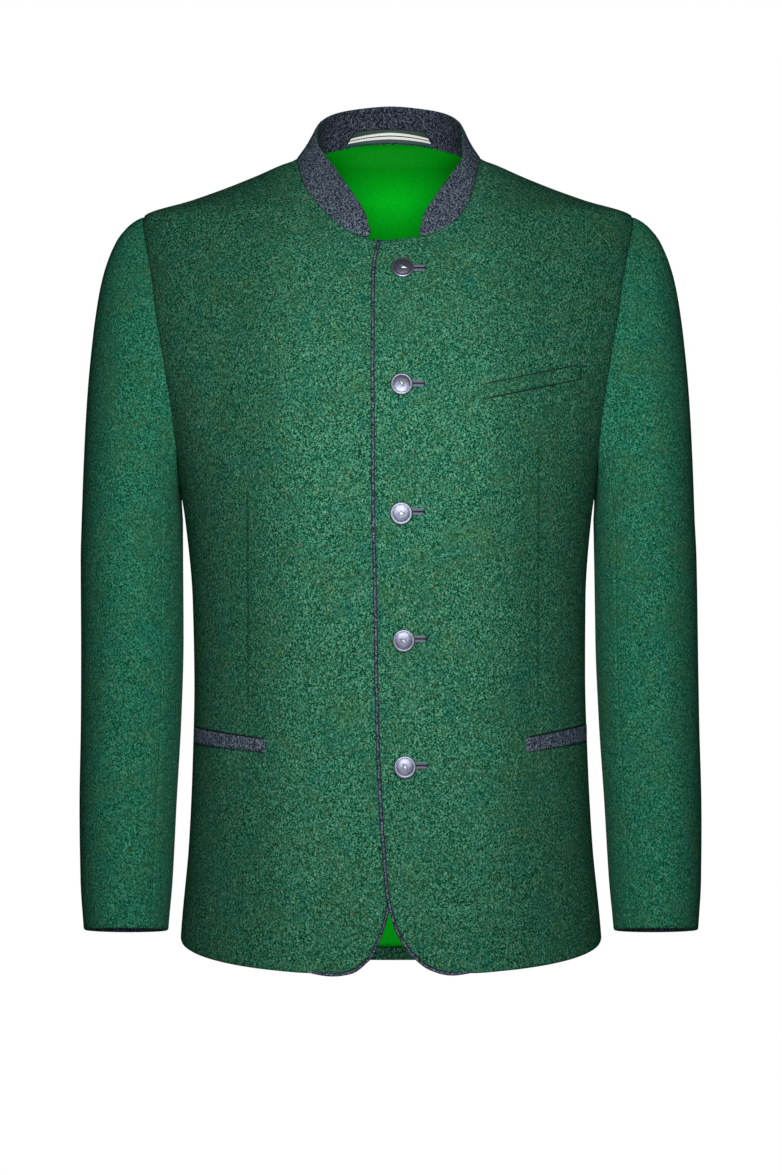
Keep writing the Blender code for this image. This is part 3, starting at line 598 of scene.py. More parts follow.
def join_seams(panels):
    entries = [(panel, i, j) for panel in panels for i, j in border_of(panel)]
    places = np.array([panel.points[i, j] for panel, i, j in entries])
    ways = np.array([panel.normals[i, j] for panel, i, j in entries])
    moves = []
    for k, (panel, i, j) in enumerate(entries):
        near = np.linalg.norm(places - places[k], axis=1) < SAME_PLACE
        mates = [m for m in np.flatnonzero(near) if entries[m][0] is not panel]
        normal = ways[k].copy()
        match = 1.0
        for mate in mates:
            agree = float(ways[k].dot(ways[mate]))
            normal += max(0.0, 0.5 * (1.0 + agree)) * ways[mate]
            match = min(match, max(agree, 0.0))
        shift = sum(inward(panel.points, i, j)) - ways[k] * (1.0 - match)
        moves.append((unit(normal), shift * 0.5 * panel.gap))
    for (panel, i, j), (normal, shift) in zip(entries, moves):
        panel.normals[i, j] = normal
        panel.points[i, j] = panel.points[i, j] + shift


# Finer grids: extra lines beside each border, normals from the grid, rolled edges and soft creases

EDGE_LINES = (0.0, 0.1, 0.25, 0.45, 0.7)
ROLL_WIDTH = 2.6
ROLL_DEPTH = 0.8


def edge_index(count):
    last = count - 1
    return np.array(list(EDGE_LINES) + list(range(1, last)) + [last - k for k in EDGE_LINES[::-1]])


def refined(grid):
    """The grid with extra rows and columns close to its borders."""
    for axis in (0, 1):
        index = edge_index(grid.shape[axis])
        low = np.minimum(index.astype(int), grid.shape[axis] - 2)
        part = index - low
        a = np.take(grid, low, axis=axis)
        b = np.take(grid, low + 1, axis=axis)
        shape = [1, 1, 1]
        shape[axis] = len(index)
        part = part.reshape(shape)
        grid = a * (1.0 - part) + b * part
    return grid


def lengths_from(points, axis):
    steps = np.linalg.norm(np.diff(points, axis=axis), axis=2)
    pad = [(0, 0), (0, 0)]
    pad[axis] = (1, 0)
    return np.pad(np.cumsum(steps, axis=axis), pad)


CREASE_COLUMNS = ("across", "z", "turned", "length", "width", "depth")


def crease_place(where, row):
    """Middle of a crease on its cloth, and its way along the cloth."""
    size = dict(zip(CREASE_COLUMNS, row))
    across, z = size["across"], size["z"]
    if where in ("front", "back"):
        behind = where == "back"
        side = -1 if behind and across < 0 else 1
        along = along_of_turn(z, math.pi - turn_of_x(z, abs(across))) if behind else own(1, across, z)
        place = body_point(side, along, z)
        normal = body_normal(side, along, z)
    else:
        side = -1 if where == "sleeve_right" else 1
        length = 1.0 + (TUBE[0][0] - z) / (TUBE[0][0] - CUFF_Z)
        place = sleeve_point(side, math.radians(across), length)
        normal = sleeve_normal(side, math.radians(across), length)
    up = unit(np.array([0.0, 0.0, 1.0]) - normal * normal[2])
    beside = np.cross(up, normal)
    angle = math.radians(size["turned"])
    return place, up * math.cos(angle) + beside * math.sin(angle), size


def creased(points, normals, creases):
    """Soft troughs (negative depth) and ridges, each a long smooth spot on its own face of the cloth."""
    moved = np.zeros(points.shape[:2])
    for place, way, size in creases:
        offset = points - place
        along = offset @ way
        across = np.linalg.norm(offset - along[:, :, None] * way, axis=2)
        width = size["width"] * (1.0 - 0.3 * np.clip(along / size["length"], -1.0, 1.0))
        moved += size["depth"] * np.exp(-((along / size["length"]) ** 2) - (across / width) ** 2)
    return points + normals * moved[:, :, None]


# Meshes

CORD_ROUND = 0.008


def image_of(outer):
    """UV of each grid point, in metres along the cloth, from its middle column."""
    along = lengths_from(outer, 1)
    along = along - along[:, outer.shape[1] // 2][:, None]
    return np.stack([along, lengths_from(outer, 0)], axis=2) * MM


def grid_faces(rows, columns, closed):
    i, j = np.meshgrid(np.arange(rows - 1), np.arange(columns if closed else columns - 1), indexing="ij")
    k = (j + 1) % columns
    a = i * columns + j
    b = i * columns + k
    c = (i + 1) * columns + k
    d = (i + 1) * columns + j
    return np.stack([a, b, c, d], axis=-1).reshape(-1, 4)


def mesh_piece(name, vertices, faces, uv=None):
    mesh = bpy.data.meshes.new(name)
    mesh.from_pydata((np.asarray(vertices) * MM).tolist(), [], [list(map(int, f)) for f in faces])
    if uv is not None:
        layer = mesh.uv_layers.new(name="cloth")
        index = np.zeros(len(mesh.loops), int)
        mesh.loops.foreach_get("vertex_index", index)
        layer.data.foreach_set("uv", np.asarray(uv)[index].ravel())
    mesh.shade_smooth()
    piece = bpy.data.objects.new(name, mesh)
    bpy.context.scene.collection.objects.link(piece)
    return piece


def wall_piece(name, outer, inner, closed=False, bulge=0.35):
    """A closed wall between two grids, its cut edges a little rounded."""
    rows, columns = outer.shape[:2]
    count = rows * columns
    uv = image_of(outer).reshape(-1, 2)
    vertices = [outer.reshape(-1, 3), inner.reshape(-1, 3)]
    faces = grid_faces(rows, columns, closed)
    middle = (rows // 2, columns // 2)
    across = outer[middle] - outer[middle[0], middle[1] - 1]
    up = outer[middle] - outer[middle[0] - 1, middle[1]]
    flip = np.cross(across, up).dot(outer[middle] - inner[middle]) < 0.0
    sides = [faces, faces[:, ::-1] + count]
    index = np.arange(count).reshape(rows, columns)
    if closed:
        borders = [index[0], index[-1, ::-1]]
    else:
        borders = [np.concatenate([index[0], index[1:, -1], index[-1, -2::-1], index[-2:0:-1, 0]])]
    extra = []
    total = 2 * count
    uvs = [uv, uv]
    for loop in borders:
        flat_outer = outer.reshape(-1, 3)[loop]
        flat_inner = inner.reshape(-1, 3)[loop]
        half = 0.5 * (flat_outer + flat_inner)
        tangent = np.roll(half, -1, axis=0) - np.roll(half, 1, axis=0)
        out = np.cross(tangent, flat_outer - flat_inner)
        out /= np.maximum(np.linalg.norm(out, axis=1), 1e-9)[:, None]
        extra.append(half + out * (-bulge if flip else bulge))
        uvs.append(uv[loop])
        mid = np.arange(total, total + len(loop))
        total += len(loop)
        nxt = np.roll(loop, -1)
        mid_next = np.roll(mid, -1)
        sides.append(np.stack([loop, mid, mid_next, nxt], axis=1))
        sides.append(np.stack([mid, loop + count, nxt + count, mid_next], axis=1))
    vertices = np.concatenate(vertices + extra)
    faces = np.concatenate(sides)
    if flip:
        faces = faces[:, ::-1]
    return mesh_piece(name, vertices, faces, np.concatenate(uvs))


def tube_piece(name, path, frames, half_widths, half_depth, sides):
    """A rounded cord along a path; frames gives two directions across it at each point."""
    angles = 2.0 * np.pi * (np.arange(sides) + 0.5) / sides
    rings = []
    for place, (a, b), half_width in zip(path, frames, half_widths):
        wide = np.outer(np.cos(angles) * half_width, a)
        rings.append(place + wide + np.outer(np.sin(angles) * half_depth, b))
    points = np.array(rings)
    faces = [tuple(f) for f in grid_faces(len(rings), sides, True)]
    last = (len(rings) - 1) * sides
    faces.append(tuple(range(sides))[::-1])
    faces.append(tuple(last + k for k in range(sides)))
    along = points[1, 0] - points[0, 0]
    turn = np.cross(points[0, 1] - points[0, 0], along)
    if turn.dot(points[0, 0] - path[0]) < 0.0:
        faces = [f[::-1] for f in faces]
    round_it = np.tile(np.arange(sides) / sides * CORD_ROUND, len(rings))
    uv = np.stack([round_it, np.repeat(run_along(np.array(path)) * MM, sides)], axis=1)
    return mesh_piece(name, points.reshape(-1, 3), faces, uv)


# Materials: small builders for shader nodes, all in object space


class Shader:
    """A material whose nodes are made one call each; links are given as sockets."""

    def __init__(self, name):
        self.material = bpy.data.materials.new(name)
        self.material.use_nodes = True
        self.tree = self.material.node_tree
        self.surface = self.tree.nodes["Principled BSDF"]

    def node(self, kind, sockets=None, **settings):
        made = self.tree.nodes.new(kind)
        for key, value in settings.items():
            setattr(made, key, value)
        for key, value in (sockets or {}).items():
            self.put(made.inputs[key], value)
        return made

    def put(self, socket, value):
        if isinstance(value, bpy.types.NodeSocket):
            self.tree.links.new(value, socket)
        else:
            socket.default_value = value

    def place(self):
        return self.node("ShaderNodeTexCoord").outputs["Object"]

    def stretched(self, place, scale, turn=(0.0, 0.0, 0.0)):
        return self.node("ShaderNodeMapping", {"Vector": place, "Scale": scale, "Rotation": turn}).outputs[0]

    def noise(self, place, scale, detail=2.0, rough=0.5, distortion=0.0):
        made = self.node(
            "ShaderNodeTexNoise",
            {"Vector": place, "Scale": scale, "Detail": detail, "Roughness": rough, "Distortion": distortion},
        )
        return made.outputs["Fac"]

    def cells(self, place, scale):
        made = self.node("ShaderNodeTexVoronoi", {"Vector": place, "Scale": scale})
        return made.outputs["Distance"], made.outputs["Color"]

    def math(self, operation, a, b=0.5):
        made = self.node("ShaderNodeMath", operation=operation)
        self.put(made.inputs[0], a)
        self.put(made.inputs[1], b)
        return made.outputs[0]

    def between(self, value, low, high, to_low=0.0, to_high=1.0):
        made = self.node("ShaderNodeMapRange", {"Value": value, "From Min": low, "From Max": high})
        self.put(made.inputs["To Min"], to_low)
        self.put(made.inputs["To Max"], to_high)
        return made.outputs[0]

    def ramp(self, value, stops, kind="LINEAR"):
        made = self.node("ShaderNodeValToRGB", {"Fac": value})
        band = made.color_ramp
        band.interpolation = kind
        for k, (at, colour) in enumerate(stops):
            stop = band.elements[k] if k < 2 else band.elements.new(at)
            stop.position = at
            stop.color = colour
        return made.outputs["Color"]

    def mix(self, share, a, b):
        made = self.node("ShaderNodeMix", data_type="RGBA")
        self.put(made.inputs["Factor"], share)
        self.put(made.inputs[6], a)
        self.put(made.inputs[7], b)
        return made.outputs[2]

    def bump(self, height, strength, distance):
        sockets = {"Height": height, "Strength": strength, "Distance": distance}
        return self.node("ShaderNodeBump", sockets).outputs[0]

    def ribs(self, scale, distortion, way):
        """Fine ribs of a weave or a twist, across one way."""
        sockets = {"Vector": self.place(), "Scale": scale, "Distortion": distortion}
        return self.node("ShaderNodeTexWave", sockets, bands_direction=way).outputs["Fac"]

    def finish(self, **sockets):
        for key, value in sockets.items():
            self.put(self.surface.inputs[key.replace("_", " ")], value)
        return self.material


def linear(red, green, blue):
    """A colour seen on a screen, 0 to 255, as linear light."""
    values = []
    for value in (red, green, blue):
        part = value / 255.0
        values.append(part / 12.92 if part < 0.04045 else ((part + 0.055) / 1.055) ** 2.4)
    return (*values, 1.0)


FLECK_COLUMNS = ("cells_a_metre", "chosen", "red", "green", "blue", "strength")
PATCH_WARM = linear(58, 98, 58)
PATCH_COLD = linear(20, 96, 84)
GREEN_FLECKS = (
    (520, 0.10, 136, 184, 150, 0.55), (440, 0.07, 30, 120, 112, 0.60), (480, 0.06, 120, 122, 62, 0.50),
    (460, 0.05, 92, 66, 50, 0.50), (420, 0.12, 6, 40, 34, 0.60),
)
GREY_FLECKS = (
    (380, 0.12, 128, 138, 150, 0.55), (300, 0.12, 22, 26, 40, 0.70), (330, 0.06, 84, 96, 120, 0.55),
)


def melange(shader, place, dark, middle, light, flecks, softness):
    """Mixed wool: short fibres of three shades lying every way, and flecks of other colours."""
    one = shader.noise(shader.stretched(place, (1.0, 1.0, 0.6), (0.3, 0.7, 0.5)), 850.0, 2.0, 0.6, 0.4)
    two = shader.noise(shader.stretched(place, (0.6, 1.0, 1.0), (0.5, -0.6, -0.3)), 930.0, 2.0, 0.6, 0.4)
    blend = shader.math("ADD", shader.math("MULTIPLY", one, 0.5), shader.math("MULTIPLY", two, 0.5))
    spread_by = 0.080 + 0.01 * softness
    colour = shader.ramp(blend, ((0.5 - spread_by, dark), (0.5, middle), (0.5 + spread_by, light)))
    if flecks is GREEN_FLECKS:
        patches = shader.noise(place, 34.0, 3.0, 0.6)
        colour = shader.mix(shader.between(patches, 0.45, 0.7, 0.0, 0.35), colour, PATCH_WARM)
        patches = shader.noise(shader.stretched(place, (1.0, 1.0, 1.0), (0.4, 0.9, 0.2)), 42.0, 3.0, 0.6)
        colour = shader.mix(shader.between(patches, 0.47, 0.72, 0.0, 0.35), colour, PATCH_COLD)
    for row in flecks:
        size = dict(zip(FLECK_COLUMNS, row))
        size["strength"] *= 1.0 - 0.55 * softness
        spot = shader.stretched(place, (1.0, 1.0, 0.7), (size["chosen"] * 9.0, 0.4, size["strength"] * 3.0))
        wander = shader.noise(spot, 500.0, 2.0, 0.5)
        distance, colours = shader.cells(spot, size["cells_a_metre"])
        red = shader.node("ShaderNodeSeparateColor", {"Color": colours}).outputs[0]
        chosen = shader.math("GREATER_THAN", red, 1.0 - size["chosen"])
        near = shader.between(shader.math("ADD", distance, wander), 1.05, 0.62)
        share = shader.math("MULTIPLY", shader.math("MULTIPLY", chosen, near), size["strength"])
        colour = shader.mix(share, colour, linear(size["red"], size["green"], size["blue"]))
    return colour, blend


SHEEN_TINT = (0.25, 0.6, 0.45, 1.0)


def wool(name, dark, middle, light, flecks, softness=0.0, marks=None, sheen=0.03):
    shader = Shader(name)
    place = shader.place()
    colour, blend = melange(shader, place, dark, middle, light, flecks, softness)
    height = shader.math("ADD", blend, shader.math("MULTIPLY", shader.noise(place, 1500.0, 2.0, 0.6), 0.35))
    if marks is not None:
        colour, height = marks(shader, place, colour, height)
    normal = shader.bump(height, 0.55, 0.0011)
    return shader.finish(
        Base_Color=colour,
        Roughness=0.95,
        Normal=normal,
        Sheen_Weight=sheen,
        Sheen_Roughness=0.6,
        Sheen_Tint=SHEEN_TINT,
        Specular_IOR_Level=0.01,
    )


DART_COLUMNS = ("x", "lean", "top", "bottom")
DARTS = ((-0.129, 0.0, -0.296, -0.522), (0.134, 0.004, -0.250, -0.515))
# Painted shade: the body cloth darkens towards its sides, from and to these distances off the middle in
# metres, by up to this share
SIDE_SHADE_FROM = 0.080
SIDE_SHADE_TO = 0.122
SIDE_SHADE = 0.26


def darts_and_side_shade(shader, place, colour, height):
    """The pressed line of each front dart, and painted shade: the cloth a little darker towards the sides."""
    parts = shader.node("ShaderNodeSeparateXYZ", {"Vector": place}).outputs
    x, y, z = parts[0], parts[1], parts[2]
    in_front = shader.math("LESS_THAN", y, 0.0)
    for row in DARTS:
        size = dict(zip(DART_COLUMNS, row))
        off = shader.math("ABSOLUTE", shader.math("SUBTRACT", x, size["x"]))
        line = shader.between(off, 0.0016, 0.0004)
        top = shader.between(z, size["top"], size["top"] - 0.03)
        bottom = shader.between(z, size["bottom"], size["bottom"] + 0.03)
        for other in (top, bottom, in_front):
            line = shader.math("MULTIPLY", line, other)
        colour = shader.mix(shader.math("MULTIPLY", line, 0.45), colour, linear(6, 42, 30))
        height = shader.math("SUBTRACT", height, shader.math("MULTIPLY", line, 0.6))
    # Painted shade: darker green towards the sides of front and back
    off = shader.math("ABSOLUTE", x)
    side = shader.between(off, SIDE_SHADE_FROM, SIDE_SHADE_TO, 0.0, SIDE_SHADE)
    colour = shader.mix(side, colour, linear(4, 34, 22))
    return colour, height


# Painted shadow of the collar on the lining: it grows darker between these heights, in metres, from one share
# to the other
NECK_SHADE = (-0.034, -0.004, 0.0, 0.62)


def satin(name):
    """Smooth woven lining, glossier along one way, with soft long creases, and a painted shadow at its top
    under the collar.
    """
    shader = Shader(name)
    place = shader.place()
    threads = shader.noise(shader.stretched(place, (6.0, 1.0, 0.15)), 420.0, 2.0, 0.5)
    folds = shader.noise(shader.stretched(place, (1.0, 1.0, 0.45)), 26.0, 2.0, 0.5)
    colour = shader.ramp(threads, ((0.3, linear(1, 196, 22)), (0.7, linear(4, 218, 44))))
    high = shader.node("ShaderNodeSeparateXYZ", {"Vector": place}).outputs[2]
    # Painted shadow: darker green at the top of the lining
    colour = shader.mix(shader.between(high, *NECK_SHADE), colour, linear(0, 84, 2))
    height = shader.math("ADD", shader.math("MULTIPLY", threads, 0.15), folds)
    normal = shader.bump(height, 0.35, 0.004)
    return shader.finish(
        Base_Color=colour, Roughness=0.55, Normal=normal, Anisotropic=0.3, Specular_IOR_Level=0.03
    )


STRIPES_HEIGHT = 0.0128
# From this share of the height up: red, green and blue
STRIPES = (
    (0.0, 20, 70, 66), (0.27, 8, 12, 12), (0.30, 250, 252, 246), (0.495, 6, 8, 8), (0.575, 250, 252, 246),
    (0.77, 10, 52, 38),
)


def ribbon(name):
    """Woven ribbon: two pale stripes with a thin black line between them, and dark green beyond."""
    shader = Shader(name)
    across = shader.node("ShaderNodeTexCoord").outputs["UV"]
    height = shader.node("ShaderNodeSeparateXYZ", {"Vector": across}).outputs[1]
    share = shader.math("DIVIDE", height, STRIPES_HEIGHT)
    colour = shader.ramp(share, [(row[0], linear(*row[1:])) for row in STRIPES], "CONSTANT")
    ribs = shader.ribs(210.0, 0.6, "X")
    colour = shader.mix(shader.between(ribs, 0.0, 1.0, 0.0, 0.08), colour, linear(6, 20, 18))
    normal = shader.bump(ribs, 0.4, 0.0004)
    return shader.finish(Base_Color=colour, Roughness=0.55, Normal=normal)


def pewter(name):
    """Old pewter: dull bright metal on the high places, dark in the low ones."""
    shader = Shader(name)
    place = shader.place()
    cloud = shader.noise(place, 420.0, 4.0, 0.65)
    edge = shader.node("ShaderNodeNewGeometry").outputs["Pointiness"]
    worn = shader.between(edge, 0.44, 0.56)
    tone = shader.math("ADD", shader.math("MULTIPLY", worn, 0.65), shader.math("MULTIPLY", cloud, 0.35))
    tones = ((0.25, linear(56, 58, 72)), (0.5, linear(112, 116, 134)), (0.85, linear(172, 176, 190)))
    colour = shader.ramp(tone, tones)
    normal = shader.bump(cloud, 0.25, 0.0006)
    return shader.finish(Base_Color=colour, Metallic=0.9, Roughness=0.42, Normal=normal)


# Fine twisted ribs between two colours: sewing thread, and also the dark strips and piping sides of painted
# shade
def twist_ribbed(name, colour_low, colour_high):
    shader = Shader(name)
    twist = shader.ribs(420.0, 2.0, "Z")
    colour = shader.ramp(twist, ((0.2, colour_low), (0.8, colour_high)))
    return shader.finish(Base_Color=colour, Roughness=0.8, Normal=shader.bump(twist, 0.6, 0.0004))


# Colours, as they show in the light of the photo

BODY_DARK = linear(2, 46, 28)
BODY_MIDDLE = linear(30, 94, 66)
BODY_LIGHT = linear(88, 156, 126)
SLEEVE_DARK = linear(2, 54, 36)
SLEEVE_MIDDLE = linear(26, 96, 71)
SLEEVE_LIGHT = linear(66, 146, 116)
GREY_DARK = linear(16, 22, 36)
GREY_MIDDLE = linear(56, 68, 84)
GREY_LIGHT = linear(122, 134, 146)
# Painted shade: a darker copy of the grey wool for the collar's inner face, inside the neck
SHADED_GREY_DARK = linear(10, 12, 24)
SHADED_GREY_MIDDLE = linear(42, 48, 62)
SHADED_GREY_LIGHT = linear(96, 102, 116)

body_wool = wool("wool_body", BODY_DARK, BODY_MIDDLE, BODY_LIGHT, GREEN_FLECKS, marks=darts_and_side_shade)
sleeve_wool = wool("wool_sleeve", SLEEVE_DARK, SLEEVE_MIDDLE, SLEEVE_LIGHT, GREEN_FLECKS, 0.8, sheen=0.05)
grey_wool = wool("wool_grey", GREY_DARK, GREY_MIDDLE, GREY_LIGHT, GREY_FLECKS)
shaded_grey_inside = wool("wool_grey_inside", SHADED_GREY_DARK, SHADED_GREY_MIDDLE, SHADED_GREY_LIGHT, GREY_FLECKS)
green_satin = satin("satin_green")
striped_ribbon = ribbon("ribbon_striped")
old_pewter = pewter("pewter_old")
hole_thread = twist_ribbed("thread_grey", linear(56, 62, 84), linear(136, 142, 162))
# Painted shade: dark strips for slits, pocket mouths and the breast welt's foot
painted_shade_strips = twist_ribbed("painted_shade_dark", linear(3, 7, 14), linear(12, 18, 26))
# Painted shade: dark navy for the piping's sides
grey_piping_shade = twist_ribbed("grey_piping_shade", linear(16, 18, 38), linear(42, 46, 72))


# Large soft creases: across is x on the body and degrees round a sleeve, where 90 is its front

CREASE_ROWS = {
    "front": (
        (-90, -322, 0, 120, 24, 2.2), (89, -290, 4, 85, 22, 2), (122, -178, 14, 40, 18, 1.7),
        (-152, -215, 6, 72, 14, -1.7), (153, -232, -6, 68, 13, -1.5), (-143, -304, -3, 34, 9, 1),
        (-126, -520, -8, 110, 20, -1.3), (130, -470, 6, 120, 18, -1.4), (-62, -640, 5, 80, 26, 1.4),
        (74, -655, -6, 68, 30, 1.3), (-164, -452, 72, 28, 9, -1.1), (164, -474, -68, 34, 10, -1.2),
        (-74, -118, 58, 32, 12, -1), (82, -110, -60, 28, 11, -0.9),
    ),
    "back": (
        (-62, -300, 3, 120, 26, 2), (72, -334, -4, 104, 22, 1.8), (-12, -196, 84, 62, 18, -1.2),
        (-142, -250, 18, 60, 14, -1.8), (146, -238, -16, 66, 15, -1.7), (-92, -484, 68, 44, 11, -1.5),
        (86, -466, -64, 52, 12, -1.6), (38, -640, 2, 92, 30, 1.4), (-104, -660, -4, 70, 24, 1.2),
    ),
    "sleeve_right": (
        (96, -392, 70, 30, 12, -1.2), (128, -436, 62, 26, 10, -1.3), (60, -560, 6, 92, 15, 1),
        (116, -604, -5, 76, 12, -0.9), (255, -440, 66, 30, 10, -1.4), (286, -330, 48, 36, 12, -1.2),
    ),
    "sleeve_left": (
        (92, -404, -68, 32, 12, -1.2), (124, -362, -58, 28, 10, -1.1), (64, -590, -4, 84, 15, 1),
        (112, -548, 6, 88, 13, -0.9), (262, -418, -70, 32, 11, -1.3), (290, -316, -44, 34, 12, -1.3),
    ),
}
CREASES = [crease_place(where, row) for where, rows in CREASE_ROWS.items() for row in rows]


def shaped(panel, creases):
    """The panel's points with creases, and the ways out there; joined ways stay along its border."""
    points = creased(panel.points, panel.normals, creases)
    normals = grid_normals(points, panel.normals[points.shape[0] // 2, points.shape[1] // 2])
    for i in (0, -1):
        normals[i] = panel.normals[i]
        normals[:, i] = panel.normals[:, i]
    panel.points = points
    panel.normals = normals


def rolled(points, normals):
    """The outer face, sunk beside its borders as a turned and pressed seam is."""
    sink = np.zeros(points.shape[:2])
    for axis in (0, 1):
        run = lengths_from(points, axis)
        near = np.minimum(run, run.max(axis=axis, keepdims=True) - run)
        sink = np.maximum(sink, np.clip(1.0 - near / ROLL_WIDTH, 0.0, 1.0) ** 2)
    return points - normals * (ROLL_DEPTH * sink)[:, :, None]


def dress(piece, node, own_material):
    """One finished piece: its material, its place under the root, and the node that it stands for, hidden."""
    if own_material is not None:
        piece.data.materials.append(own_material)
    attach(piece, "root")
    if node:
        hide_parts(node)


def cloth_of(panel, own_material):
    """The fine shell of a panel."""
    points = refined(panel.points)
    normals = refined(panel.normals)
    normals /= np.linalg.norm(normals, axis=2)[:, :, None]
    outer = rolled(points, normals)
    inner = points - normals * panel.wall
    piece = wall_piece(panel.name + "_cloth", outer, inner)
    dress(piece, panel.name, own_material)
    return piece


# The jacket

FORE_SEAM = 40
HIND_SEAM = -30

front_right = front_panel(-1, "front_right")
front_left = front_panel(1, "front_left")
back_right = back_panel(-1, "back_right")
back_left = back_panel(1, "back_left")
body_panels = [front_right, front_left, back_right, back_left]
sleeve_panels = []
for side, word in ((-1, "right"), (1, "left")):
    sleeve_panels.append(sleeve_panel(side, "sleeve_upper_" + word, HIND_SEAM, FORE_SEAM))
    last = 2 * ARMHOLE_STEPS + HIND_SEAM
    sleeve_panels.append(sleeve_panel(side, "sleeve_under_" + word, FORE_SEAM, last))
collar = collar_panel(front_right, back_right, back_left, front_left)
join_seams(body_panels + sleeve_panels + [collar])
for panel in body_panels + sleeve_panels:
    shaped(panel, CREASES)
for panel in body_panels:
    cloth_of(panel, body_wool)
for panel in sleeve_panels:
    cloth_of(panel, sleeve_wool)
collar_piece = cloth_of(collar, grey_wool)
# Painted shade: the collar's inner faces take the darker copy of the grey wool
collar_piece.data.materials.append(shaded_grey_inside)
collar_rows, collar_columns = (len(edge_index(count)) - 1 for count in collar.points.shape[:2])
for face in collar_piece.data.polygons:
    if 1 <= face.index // (collar_rows * collar_columns) < 2:
        face.material_index = 1


# Trims: sizes, as in the part

# The ribbon's rows give its height on the collar and its half width there
RIBBON = ((2, 43), (12.4, 35), (13.8, 33))
RIBBON_WALL = 0.8
RIBBON_TUCK = 1.3
RIBBON_GRID = (14, 61)
RIBBON_SMOOTH = 60
LINING_COLUMNS = 45
RIPPLE = 0.35
RIPPLE_ACROSS = 31.0
RIPPLE_DOWN = 170.0
PIPING_HALF_WIDTH = 1.6
PIPING_HALF_DEPTH = 1.35
RIGHT_PIPING_FROM_Z = -560.0
PIPING_HEM_STEPS = 3
WELT_WALL = 1.7
WELT_COLUMNS = (
    "name", "side", "inner_x", "outer_x", "inner_top", "inner_bottom", "outer_top", "outer_bottom",
    "material",
)
WELTS = (
    ("welt_pocket_right", -1, -113, -180.5, -537.6, -549, -529.5, -543.5, "grey_wool"),
    ("welt_pocket_left", 1, 123, 180.5, -536.5, -549, -527, -541.5, "grey_wool"),
    ("welt_breast", 1, 80.4, 172.5, -219, -231.5, -198, -211, "wool"),
)


# Trims, made from the points of what they lie on

BUTTON_SIDES = 48
BUTTON_STEM = ((0, 0.4), (2.6, 0.4), (2.6, 2.3), (7.2, 2.45), (9.5, 2.6), (10, 2.95), (10.15, 3.5))
BUTTON_FACE = (
    (9.95, 4), (9.6, 4.3), (9.2, 4.5), (8.8, 4.58), (8.4, 4.54), (8.05, 4.46),
    (7.7, 4.48), (6.9, 4.72), (5.6, 5.02), (4, 5.22), (2, 5.35), (0, 5.4),
)
MOTIF_HALF = 3.9
MOTIF_HEIGHT = 0.55
PIPING_TUCK = (-0.9, -0.6, -0.25, 0.1, 0.4, 0.65, 0.82, 0.93)
HOLE_FROM = 7.0
HOLE_TO = 20.3
HOLE_HALF = 3.0
HOLE_RISE = 1.3
CORD_SIDES = 16
CORD_CROWN = (2, 3, 4)
JET_GAP = 1.5
JET_HEIGHT = 2.6
WELT_ROWS = (0.0, 0.05, 0.12, 0.22, 0.4, 0.6, 0.78, 0.88, 0.95, 1.0)
WELT_STEPS = 41
WELT_RUN = 57.0
WELT_FOOT = 12.9
STRIP_ROWS = (0.0, 0.15, 0.5, 0.85, 1.0)
FACING_ROWS = 7
FACING_LIFT = 0.8
EDGING_FROM = 14
EDGING_TO = 36


def laid(side, x, z):
    """Place on the creased front at an x and height in the room, and the way out there."""
    along = own(side, x, z)
    normal = body_normal(side, along, z)
    point = body_point(side, along, z) - normal * lap_depth(side, along)
    return creased(point[None, None], normal[None, None], CREASES)[0, 0], normal


def lining_cloth(name):
    columns = []
    away = range(1, LINING_COLUMNS + 1)
    for back, order in ((back_right, away[::-1]), (back_left, away)):
        grid = back.points - back.normals * (WALL + LAY_GAP)
        low = grid[2] * 0.75 + grid[3] * 0.25
        high = grid[-1] * 0.94 + grid[-2] * 0.06
        rows = np.concatenate([low[None], grid[3:-1], high[None]])
        columns += [(rows[:, j], back.normals[2:, j]) for j in order]
    points, normals = (np.stack(part, axis=1) for part in zip(*columns))
    ripple = RIPPLE * (1.0 + np.sin(points[:, :, 0] / RIPPLE_ACROSS + points[:, :, 2] / RIPPLE_DOWN))
    points = points - normals * ripple[:, :, None]
    piece = wall_piece(name, points, points - normals * LINING_WALL, bulge=0.1)
    dress(piece, "lining_back", green_satin)


def ribbon_cloth(name):
    middle = collar.points.shape[1] // 2
    grid = collar.points - collar.normals * (COLLAR_WALL + RIBBON_GAP)
    lengths = run_along(grid[0])
    lengths -= lengths[middle]
    height_of = np.linspace(RIBBON[0][0] - RIBBON_TUCK, RIBBON[-1][0], RIBBON_GRID[0])
    half_of = np.interp(height_of, *np.array(RIBBON).T)
    outer = np.zeros((*RIBBON_GRID, 3))
    ways = np.zeros_like(outer)
    full = np.linalg.norm(grid[-1, middle] - grid[0, middle])
    for i, (height, half) in enumerate(zip(height_of, half_of)):
        part = height * COLLAR_STEPS / full
        low = int(part)
        line = grid[low] * (1.0 - part + low) + grid[low + 1] * (part - low)
        for j, station in enumerate(np.linspace(-half, half, RIBBON_GRID[1])):
            outer[i, j] = [np.interp(station, lengths, column) for column in line.T]
            way = [np.interp(station, lengths, column) for column in collar.normals[low].T]
            ways[i, j] = unit(np.array(way))
    for _ in range(RIBBON_SMOOTH):
        outer[:, 1:-1, 2] = 0.25 * outer[:, :-2, 2] + 0.5 * outer[:, 1:-1, 2] + 0.25 * outer[:, 2:, 2]
    piece = wall_piece(name, outer, outer - ways * RIBBON_WALL, bulge=0.15)
    dress(piece, "hanger_ribbon", striped_ribbon)


